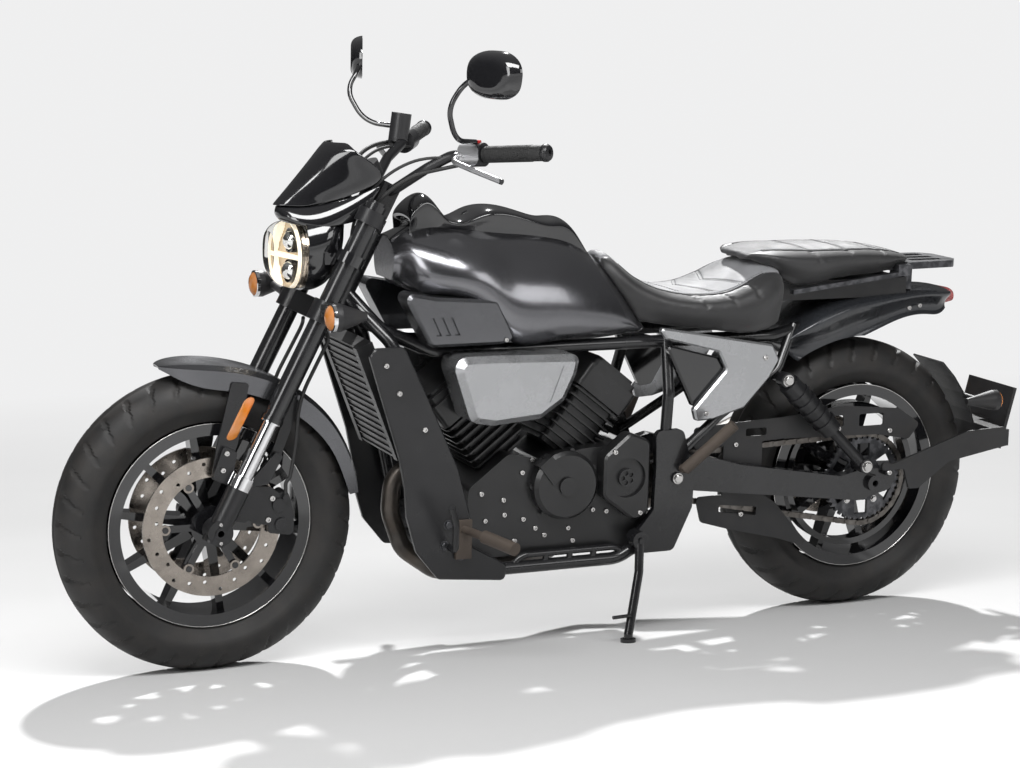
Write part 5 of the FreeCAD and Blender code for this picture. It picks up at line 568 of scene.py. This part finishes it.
bolts("guard_bolts", ("chain_guards",), ((-0.43, 0.425), (-0.70, 0.445), (-0.84, 0.432), (-0.45, 0.262)), 0.0060,
      bright_steel)
bolts("shock_bolts", ("rear_shocks",), ((-0.740, 0.3663), (-0.527, 0.576)), 0.0110, bright_steel, kind=hex_bolt,
      sides=BOTH)
bolts("axle_nut", ("swingarm",), ((-0.779, 0.3193),), 0.0130, bright_steel, kind=hex_bolt, sides=BOTH)
bolts("pivot_nut", ("main_frame",), ((-0.255, 0.371),), 0.0100, bright_steel, kind=hex_bolt, sides=BOTH)
bolts("clamp_bolts", ("fork_clamps",), ((0.560, 0.773), (0.552, 0.748)), 0.0055, bright_steel, "steering",
      sides=BOTH)
bolts("holder_bolts", ("plate_holder",), ((-0.812, 0.344), (-0.870, 0.392), (-0.960, 0.420)), 0.0060, bright_steel)
bolts("scoop_bolts", ("tank_scoops",), ((0.165, 0.700), (0.375, 0.705)), 0.0050, bright_steel, sides=BOTH)


# Lamps, mirrors and controls

warm_light = finish_for("warm_light", (1.0, 0.93, 0.80), 0.3, variation=0.03, bump=0.0)
warm_light.shader.inputs["Emission Color"].default_value = (1.0, 0.90, 0.72, 1)
warm_light.shader.inputs["Emission Strength"].default_value = 0.55
warm_light = warm_light.material


def slab(outline, way, thickness, rise=0.0, inset=0.0):
    """A flat form on its outline, raised along way, its top drawn in by inset and lifted by rise."""
    way = Vector(way).normalized()
    middle = sum((Vector(point) for point in outline), Vector()) / len(outline)
    count = len(outline)
    low = [Vector(point) - way * thickness for point in outline]
    side = [Vector(point) + way * thickness * 0.4 for point in outline]
    top = [middle + (Vector(point) - middle) * (1 - inset) + way * (thickness + rise) for point in outline]
    points = low + side + top
    faces = [tuple(range(count)), tuple(2 * count + index for index in range(count))]
    for ring in (0, count):
        for index in range(count):
            after = (index + 1) % count
            faces.append((ring + index, ring + after, ring + count + after, ring + count + index))
    return points, faces


def capsule(middle, long_way, wide_way, length, radius, steps=10):
    """The outline of a slot with round ends."""
    long_way, wide_way = Vector(long_way).normalized(), Vector(wide_way).normalized()
    points = []
    for end in (1, -1):
        for step in range(steps + 1):
            angle = math.pi * step / steps
            points.append(Vector(middle) + long_way * end * (length / 2 - radius + math.sin(angle) * radius)
                          + wide_way * end * math.cos(angle) * radius)
    return points


def sided(place, side):
    """The same place on the left for 1 and on the right for -1."""
    return Vector((place.x, side * place.y, place.z))


def headlamp_inside():
    middle = LAMP_MIDDLE
    bowl = lathe([(0, 0), (0.0655, 0), (0.0665, 0.008), (0.0635, 0.010), (0.0600, 0.005), (0.030, 0.003),
                  (0, 0.0025)],
                 middle, AHEAD, 48)
    add("lamp_bowl", bowl, warm_reflector, "steering")
    rim = lathe([(0.0560, 0.006), (0.0600, 0.006), (0.0610, 0.016), (0.0575, 0.016), (0.0560, 0.006)],
                middle, AHEAD, 56)
    add("lamp_ring", rim, warm_light, "steering")
    domes, hoods = [], []
    for rise in (0.027, -0.027):
        spot = middle + UP * rise + AHEAD * 0.006
        domes.append(lathe([(0, 0), (0.0175, 0), (0.0170, 0.006), (0.0135, 0.0125), (0.007, 0.0165), (0, 0.0175)],
                           spot, AHEAD, 32))
        hoods.append(lathe([(0.0178, -0.002), (0.0212, -0.002), (0.0205, 0.008), (0.0182, 0.008), (0.0178, -0.002)],
                           spot, AHEAD, 36))
    add("lamp_domes", merged(domes), mirror_glass, "steering")
    add("lamp_hoods", merged(hoods), gloss_black, "steering")
    led = slab(capsule(middle + AHEAD * 0.014, LEFT, UP, 0.108, 0.0046), AHEAD, 0.003, 0.001, 0.2)
    add("lamp_bar", led, warm_light, "steering")


def lens_dome(place, way, radius):
    profile = [(0, -0.002), (radius, -0.002), (radius, 0.12 * radius), (0.93 * radius, 0.26 * radius),
               (0.72 * radius, 0.42 * radius), (0.4 * radius, 0.52 * radius), (0, 0.55 * radius)]
    return lathe(profile, place, way, 36)


def signals():
    front = [lens_dome(sided(FRONT_SIGNAL, side), AHEAD, 0.0255) for side in BOTH]
    add("front_signal_lenses", merged(front), amber, "steering")
    rims = [lathe([(0.0258, -0.003), (0.0293, -0.003), (0.0296, 0.0035), (0.0262, 0.0045), (0.0258, -0.003)],
                  sided(FRONT_SIGNAL, side), AHEAD, 36) for side in BOTH]
    add("front_signal_rims", merged(rims), chrome, "steering")
    rear = [lens_dome(sided(REAR_SIGNAL, side), -AHEAD, 0.0215) for side in BOTH]
    add("rear_signal_lenses", merged(rear), amber, "frame")


def reflectors():
    shapes = []
    for side in BOTH:
        found, _ = seat_on("fork_sliders", 0.7245, 0.5485, side)
        if found:
            shapes.append(slab(capsule(found, FORK_WAY, AHEAD, 0.098, 0.0115), LEFT * side, 0.0022, 0.0012, 0.25))
    if shapes:
        add("strut_reflectors", merged(shapes), amber, "steering")


def oval_outline(half_width, half_height, count=48):
    points = []
    for step in range(count):
        angle = 2 * math.pi * step / count
        across, rise = math.cos(angle), math.sin(angle)
        points.append((half_width * math.copysign(abs(across) ** 0.8, across),
                       half_height * math.copysign(abs(rise) ** 0.8, rise)))
    return points


def mirror_fittings():
    glasses = []
    for side in BOTH:
        way = Vector((math.cos(MIRROR_TURN), side * math.sin(MIRROR_TURN), 0))
        wide = Vector((-way.y, way.x, 0))
        middle = sided(MIRROR_MIDDLE, side)
        outline = [middle + wide * across + UP * rise for across, rise in oval_outline(0.0700, 0.0430)]
        glasses.append(slab(outline, -way, 0.0006, 0.0, 0.02))
    add("mirror_faces", merged(glasses), mirror_glass, "steering")


def grip_fittings():
    ribs, ends = [], []
    for side in BOTH:
        start, end = sided(GRIP_START, side), sided(GRIP_END, side)
        way = (end - start).normalized()
        profile = [(0.0160, 0.010)]
        for step in range(26):
            place = 0.012 + step * 0.0042
            profile += [(0.0174, place), (0.0174, place + 0.0022), (0.0167, place + 0.0026), (0.0167, place + 0.0040)]
        profile.append((0.0160, 0.124))
        ribs.append(lathe(profile, start, way, 36))
        ends.append(lathe([(0, 0), (0.0168, 0), (0.0182, 0.002), (0.0182, 0.009), (0.0150, 0.014), (0.006, 0.015),
                           (0.0055, 0.011), (0, 0.011)], end - way * 0.006, way, 32))
    add("grip_ribs", merged(ribs), soft_rubber, "steering")
    add("bar_end_weights", merged(ends), satin_black, "steering")


def top_of(node, x, y):
    return tree(node).ray_cast(Vector((x, y, ABOVE)), -UP)[0]


def switches():
    shapes = []
    for x, y in ((0.2560, 0.1985), (0.2440, 0.1800)):
        found = top_of("hand_controls", x, y)
        if found:
            shapes.append(lathe([(0, -0.002), (0.0062, -0.002), (0.0062, 0.004), (0.0050, 0.0055), (0, 0.0055)],
                                found, UP, 20))
    if shapes:
        add("switch_buttons", merged(shapes), red_plastic, "steering")


headlamp_inside()
signals()
reflectors()
mirror_fittings()
grip_fittings()
switches()


# Seats

SEAT_VOXEL = 0.006
SEAM_HALF_WIDTH, SEAM_DEPTH = 0.0035, 0.0022
SEAT_PRESSURE, SEAT_FRAMES = 4.0, 20
PUFF_LIMIT = 0.007
RIDER_SEAMS = ((-0.245, 0.55), (-0.315, 0.50), (-0.385, 0.42))
PILLION_SEAMS = ((-0.585, 0.25), (-0.690, 0.18), (-0.790, 0.10))


def pad(node, name, seams, side_line, top):
    """A stuffed cover over one seat: remeshed, blown up between its sewn lines, then kept near its form."""
    source = frame["nodes"][node].data.copy()
    piece = bpy.data.objects.new(name, source)
    bpy.context.scene.collection.objects.link(piece)
    remesh = piece.modifiers.new("remesh", "REMESH")
    remesh.mode = "VOXEL"
    remesh.voxel_size = SEAT_VOXEL
    piece.data = evaluated_copy(piece)
    piece.modifiers.clear()
    mesh = piece.data
    smooth = bmesh.new()
    smooth.from_mesh(mesh)
    for _ in range(3):
        bmesh.ops.smooth_vert(smooth, verts=smooth.verts, factor=0.5, use_axis_x=True, use_axis_y=True,
                              use_axis_z=True)
    smooth.to_mesh(mesh)
    smooth.free()
    rest = [vertex.co.copy() for vertex in mesh.vertices]
    normals = [vertex.normal.copy() for vertex in mesh.vertices]
    held = piece.vertex_groups.new(name="held")
    sewn = []
    for index, place in enumerate(rest):
        spot = BIKE_BACK @ place
        normal = turn.transposed() @ normals[index]
        near = min(abs(spot.x - start + abs(spot.y) * slope) for start, slope in seams)
        on_side = abs(abs(spot.y) - side_line(spot.x))
        if normal.z < -0.5:
            held.add([index], 1.0, "REPLACE")
        elif normal.z > 0.25 and min(near, on_side) < SEAM_HALF_WIDTH:
            held.add([index], 1.0, "REPLACE")
            sewn.append(index)
    cloth = piece.modifiers.new("cloth", "CLOTH")
    cloth.settings.use_pressure = True
    cloth.settings.uniform_pressure_force = SEAT_PRESSURE
    cloth.settings.vertex_group_mass = "held"
    cloth.settings.quality = 4
    cloth.settings.effector_weights.gravity = 0.0
    cloth.collision_settings.use_collision = False
    cloth.point_cache.frame_start, cloth.point_cache.frame_end = 1, SEAT_FRAMES
    for number in range(1, SEAT_FRAMES + 1):
        bpy.context.scene.frame_set(number)
        bpy.context.view_layer.update()
    piece.data = evaluated_copy(piece)
    piece.modifiers.clear()
    bpy.context.scene.frame_set(1)
    mesh = piece.data
    for index, vertex in enumerate(mesh.vertices):
        move = vertex.co - rest[index]
        if move.length > PUFF_LIMIT:
            move *= PUFF_LIMIT / move.length
        vertex.co = rest[index] + move
    for index in sewn:
        mesh.vertices[index].co -= normals[index] * SEAM_DEPTH
    mesh.materials.clear()
    mesh.materials.append(seat_side)
    mesh.materials.append(top)
    for face in mesh.polygons:
        spot = BIKE_BACK @ face.center
        normal = turn.transposed() @ face.normal
        face.material_index = 1 if normal.z > 0.2 and abs(spot.y) < side_line(spot.x) else 0
        face.use_smooth = True
    subdivision = piece.modifiers.new("subdivision", "SUBSURF")
    subdivision.levels = subdivision.render_levels = 1
    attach(piece, "frame")
    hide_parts(node)
    return piece


def evaluated_copy(piece):
    depsgraph = bpy.context.evaluated_depsgraph_get()
    return bpy.data.meshes.new_from_object(piece.evaluated_get(depsgraph), depsgraph=depsgraph)


def tree_of(piece):
    mesh = evaluated_copy(piece)
    made = BVHTree.FromPolygons([BIKE_BACK @ vertex.co for vertex in mesh.vertices],
                                [tuple(face.vertices) for face in mesh.polygons])
    bpy.data.meshes.remove(mesh)
    return made


def laid_line(surface, plan, rise=0.0006):
    """Points of a plan-view line laid on a surface from above."""
    points = []
    for x, y in plan:
        place, normal, _, _ = surface.ray_cast(Vector((x, y, ABOVE)), -UP)
        if place:
            points.append((place + normal * rise, normal))
    return points


def stitches(name, surface, lines, length=0.0040):
    """Short raised threads along plan-view lines."""
    shapes = []
    for line in lines:
        laid = laid_line(surface, line)
        for (first, normal), (second, _) in zip(laid[::2], laid[1::2]):
            way = (second - first).normalized()
            wide = way.cross(normal).normalized()
            middle = (first + second) / 2
            shapes.append(slab(capsule(middle, way, wide, length, 0.0006, 3), normal, 0.0004, 0.0002, 0.3))
    if shapes:
        add(name, merged(shapes), thread, "frame")


def plan_line(function, start, end, step=0.0031):
    count = max(2, int(abs(end - start) / step))
    return [function(start + (end - start) * index / count) for index in range(count + 1)]


def seats():
    def rider_side(x):
        share = min(1.0, max(0.0, (-0.125 - x) / 0.34))
        return 0.040 + 0.078 * math.sin(share * math.pi * 0.5) - 0.010 * max(0.0, share - 0.8) * 5

    def pillion_side(x):
        share = min(1.0, max(0.0, (-0.470 - x) / 0.41))
        return 0.060 + 0.034 * math.sin(min(1.0, share * 2.2) * math.pi / 2) - 0.028 * max(0.0, share - 0.55) / 0.45

    rider = pad("rider_seat", "rider_seat_cover", RIDER_SEAMS, rider_side, seat_top)
    pillion = pad("passenger_seat", "passenger_seat_cover", PILLION_SEAMS, pillion_side, pillion_top)
    for piece, name, seams, side_line, start, end in (
            (rider, "rider", RIDER_SEAMS, rider_side, -0.150, -0.482),
            (pillion, "passenger", PILLION_SEAMS, pillion_side, -0.500, -0.865)):
        surface = tree_of(piece)
        lines = []
        for place, slope in seams:
            for offset in (0.0045, -0.0045):
                half = side_line(place) - 0.006
                lines.append(plan_line(lambda y: (place + offset - abs(y) * slope, y), -half, half))
        for side in BOTH:
            lines.append(plan_line(lambda x: (x, side * (side_line(x) - 0.006)), start, end))
        stitches(name + "_stitches", surface, lines)
        for side, side_name in ((1, "left"), (-1, "right")):
            piped = laid_line(surface, plan_line(lambda x: (x, side * side_line(x)), start, end, 0.012), 0.0004)
            bar(name + "_piping_" + side_name, [place for place, _ in piped], 0.0019, seat_side, "frame")


seats()


# Flyscreen

def sheet(name, rows, material, levels=2):
    """A smooth thin sheet through rows of points, each a list across the bike."""
    outer = [Vector(point) for row in rows for point in row]
    inner = [point + Vector((-0.0034, -0.024 * point.y, -0.0008)) for point in outer]
    width, total, last = len(rows[0]), len(outer), len(rows) - 1
    faces = []
    for row in range(last):
        for number in range(width - 1):
            first = row * width + number
            quad = (first, first + 1, first + width + 1, first + width)
            faces.append(quad)
            faces.append(tuple(total + index for index in reversed(quad)))
    rim = list(range(width)) + [row * width + width - 1 for row in range(1, last + 1)]
    rim += [last * width + number for number in range(width - 2, -1, -1)]
    rim += [row * width for row in range(last - 1, 0, -1)]
    for index, first in enumerate(rim):
        second = rim[(index + 1) % len(rim)]
        faces.append((first, second, total + second, total + first))
    piece = add(name, (outer + inner, faces), material, "steering", 60.0)
    smooth = piece.modifiers.new("subdivision", "SUBSURF")
    smooth.levels = smooth.render_levels = levels
    return piece


def screen():
    """A smooth bowed screen over a cowl that closes the space down to the lamp."""
    shares = [(0.0, 0.45, 0.35), (0.10, 0.64, 0.66), (0.25, 0.84, 0.88), (0.45, 1.0, 1.0), (0.62, 0.98, 0.80),
              (0.78, 0.90, 0.52), (0.90, 0.76, 0.30), (1.0, 0.5, 0.2)]
    foot = Vector((0.6330, 0, 0.9792))

    def at(up, wide, deep, side):
        return foot + Vector((-0.115 * up - 0.164 * deep * abs(side) ** 1.9, 0.092 * wide * side, 0.131 * up))

    sides = [-1 + number / 6 for number in range(13)]
    rows = [[at(up, wide, deep, side) for side in sides] for up, wide, deep in shares]
    piece = sheet("screen_sheet", rows, gloss_black)
    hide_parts("flyscreen")
    edge = [rows[number][-1] for number in (3, 2, 1, 0)] + [rows[0][number] for number in (10, 8, 6)]
    edge += [Vector((point.x, -point.y, point.z)) for point in reversed(edge[:-1])]
    low_edge = [(0.462, 0.070, 0.952), (0.492, 0.074, 0.944), (0.528, 0.074, 0.940), (0.562, 0.067, 0.938),
                (0.588, 0.052, 0.940), (0.606, 0.030, 0.943), (0.614, 0.0, 0.944)]
    low_edge += [(x, -y, z) for x, y, z in reversed(low_edge[:-1])]
    top_row = [point * 1.0 + Vector((-0.006, -0.06 * point.y, -0.001)) for point in edge]
    low_row = [Vector(point) for point in low_edge]
    middle = [(first + second) / 2 + Vector((0.010, 0.10 * second.y, -0.004))
              for first, second in zip(top_row, low_row)]
    sheet("screen_cowl", [top_row, middle, low_row], gloss_black)


screen()


# Cables at the bars

def cables():
    routes = (("clutch_cable", 0.0034, ((0.262, 0.165, 1.082), (0.330, 0.130, 1.090), (0.400, 0.095, 1.060),
                                        (0.452, 0.062, 1.000), (0.480, 0.052, 0.930), (0.478, 0.050, 0.860))),
              ("switch_cable", 0.0042, ((0.248, 0.180, 1.080), (0.310, 0.140, 1.062), (0.370, 0.108, 1.045),
                                        (0.430, 0.060, 0.985), (0.462, 0.044, 0.920), (0.470, 0.040, 0.860))),
              ("throttle_cable", 0.0034, ((0.258, -0.165, 1.082), (0.330, -0.130, 1.092), (0.405, -0.090, 1.062),
                                          (0.455, -0.058, 1.000), (0.482, -0.048, 0.930), (0.478, -0.046, 0.860))),
              ("brake_line", 0.0046, ((0.300, -0.200, 1.090), (0.372, -0.130, 1.092), (0.432, -0.080, 1.050),
                                      (0.470, -0.040, 0.975), (0.486, -0.030, 0.900), (0.480, -0.030, 0.850))))
    for name, radius, points in routes:
        bar(name, points, radius, soft_rubber, "steering")


cables()


def studio():
    mesh = bpy.data.meshes.new("floor")
    mesh.from_pydata([(-30, -30, 0), (30, -30, 0), (30, 30, 0), (-30, 30, 0)], [], [(0, 1, 2, 3)])
    floor = bpy.data.objects.new("floor", mesh)
    bpy.context.scene.collection.objects.link(floor)
    made = Shading("floor_paint")
    made.links.new(made.mix(made.ramp(made.noise(1.2), 0.3, 0.7, 0.0, 1.0), (0.57, 0.57, 0.57), (0.59, 0.59, 0.59)),
                   made.shader.inputs["Base Color"])
    made.shader.inputs["Roughness"].default_value = 0.75
    far = made.node("ShaderNodeVectorMath")
    far.operation = "LENGTH"
    made.links.new(made.coords, far.inputs[0])
    haze = made.nodes.new("ShaderNodeEmission")
    haze.inputs["Color"].default_value = BACKDROP
    join = made.nodes.new("ShaderNodeMixShader")
    made.links.new(made.ramp(far.outputs["Value"], 2.6, 7.5, 0.0, 1.0), join.inputs["Fac"])
    made.links.new(made.shader.outputs[0], join.inputs[1])
    made.links.new(haze.outputs[0], join.inputs[2])
    made.links.new(join.outputs[0], made.nodes["Material Output"].inputs["Surface"])
    mesh.materials.append(made.material)
    world = bpy.data.worlds.new("studio")
    world.use_nodes = True
    nodes, links = world.node_tree.nodes, world.node_tree.links
    background = nodes["Background"]
    coords = nodes.new("ShaderNodeTexCoord")
    split = nodes.new("ShaderNodeSeparateXYZ")
    links.new(coords.outputs["Generated"], split.inputs[0])
    dome = nodes.new("ShaderNodeValToRGB")
    links.new(split.outputs["Z"], dome.inputs["Fac"])
    dome.color_ramp.elements[0].color = (0.10, 0.10, 0.105, 1)
    dome.color_ramp.elements[1].color = (1.0, 1.0, 1.0, 1)
    links.new(dome.outputs["Color"], background.inputs["Color"])
    background.inputs["Strength"].default_value = 0.24
    seen = nodes.new("ShaderNodeBackground")
    seen.inputs["Color"].default_value = BACKDROP
    path = nodes.new("ShaderNodeLightPath")
    join = nodes.new("ShaderNodeMixShader")
    links.new(path.outputs["Is Camera Ray"], join.inputs["Fac"])
    links.new(background.outputs[0], join.inputs[1])
    links.new(seen.outputs[0], join.inputs[2])
    links.new(join.outputs[0], nodes["World Output"].inputs["Surface"])
    bpy.context.scene.world = world
    sun = bpy.data.lights.new("key", "SUN")
    sun.energy = 3.6
    sun.angle = math.radians(2.5)
    light = bpy.data.objects.new("key", sun)
    light.rotation_mode = "QUATERNION"
    light.rotation_quaternion = Vector((0.33, 0.72, -0.80)).to_track_quat("-Z", "Y")
    bpy.context.scene.collection.objects.link(light)
    for name, place, aim, energy, width, height in (
            ("sweep", (0.9, 1.7, 2.6), (0.25, 0, 0.85), 95, 3.0, 0.8),
            ("nose", (3.4, 1.8, 1.7), (0.5, 0, 0.7), 34, 1.0, 1.8),
            ("side", (-1.8, 3.2, 1.9), (-0.3, 0, 0.6), 16, 1.2, 1.2)):
        lamp = bpy.data.lights.new(name, "AREA")
        lamp.shape = "RECTANGLE"
        lamp.energy = energy
        lamp.size, lamp.size_y = width, height
        light = bpy.data.objects.new(name, lamp)
        light.location = place
        light.rotation_mode = "QUATERNION"
        light.rotation_quaternion = (Vector(aim) - light.location).to_track_quat("-Z", "Y")
        bpy.context.scene.collection.objects.link(light)


def camera():
    data = bpy.data.cameras.new("camera")
    data.lens = 80.148
    data.sensor_width = 36
    data.clip_end = 100
    camera = bpy.data.objects.new("camera", data)
    heading, pitch, roll = math.radians(-113.7618), math.radians(-4.5546), math.radians(-1.3192)
    ahead = Vector((math.cos(heading) * math.cos(pitch), math.sin(heading) * math.cos(pitch), math.sin(pitch)))
    side = ahead.cross(Vector((0, 0, 1))).normalized()
    top = side.cross(ahead)
    right = side * math.cos(roll) + top * math.sin(roll)
    up = top * math.cos(roll) - side * math.sin(roll)
    turn = Matrix((right, up, -ahead)).transposed()
    place = Vector(joints["front_wheel_spin"]["pos_m"]) + Vector((1.310803, 4.585529, 0.648374))
    camera.matrix_world = Matrix.Translation(place) @ turn.to_4x4()
    bpy.context.scene.collection.objects.link(camera)
    bpy.context.scene.camera = camera


studio()
camera()
bpy.context.scene.view_settings.view_transform = "Standard"
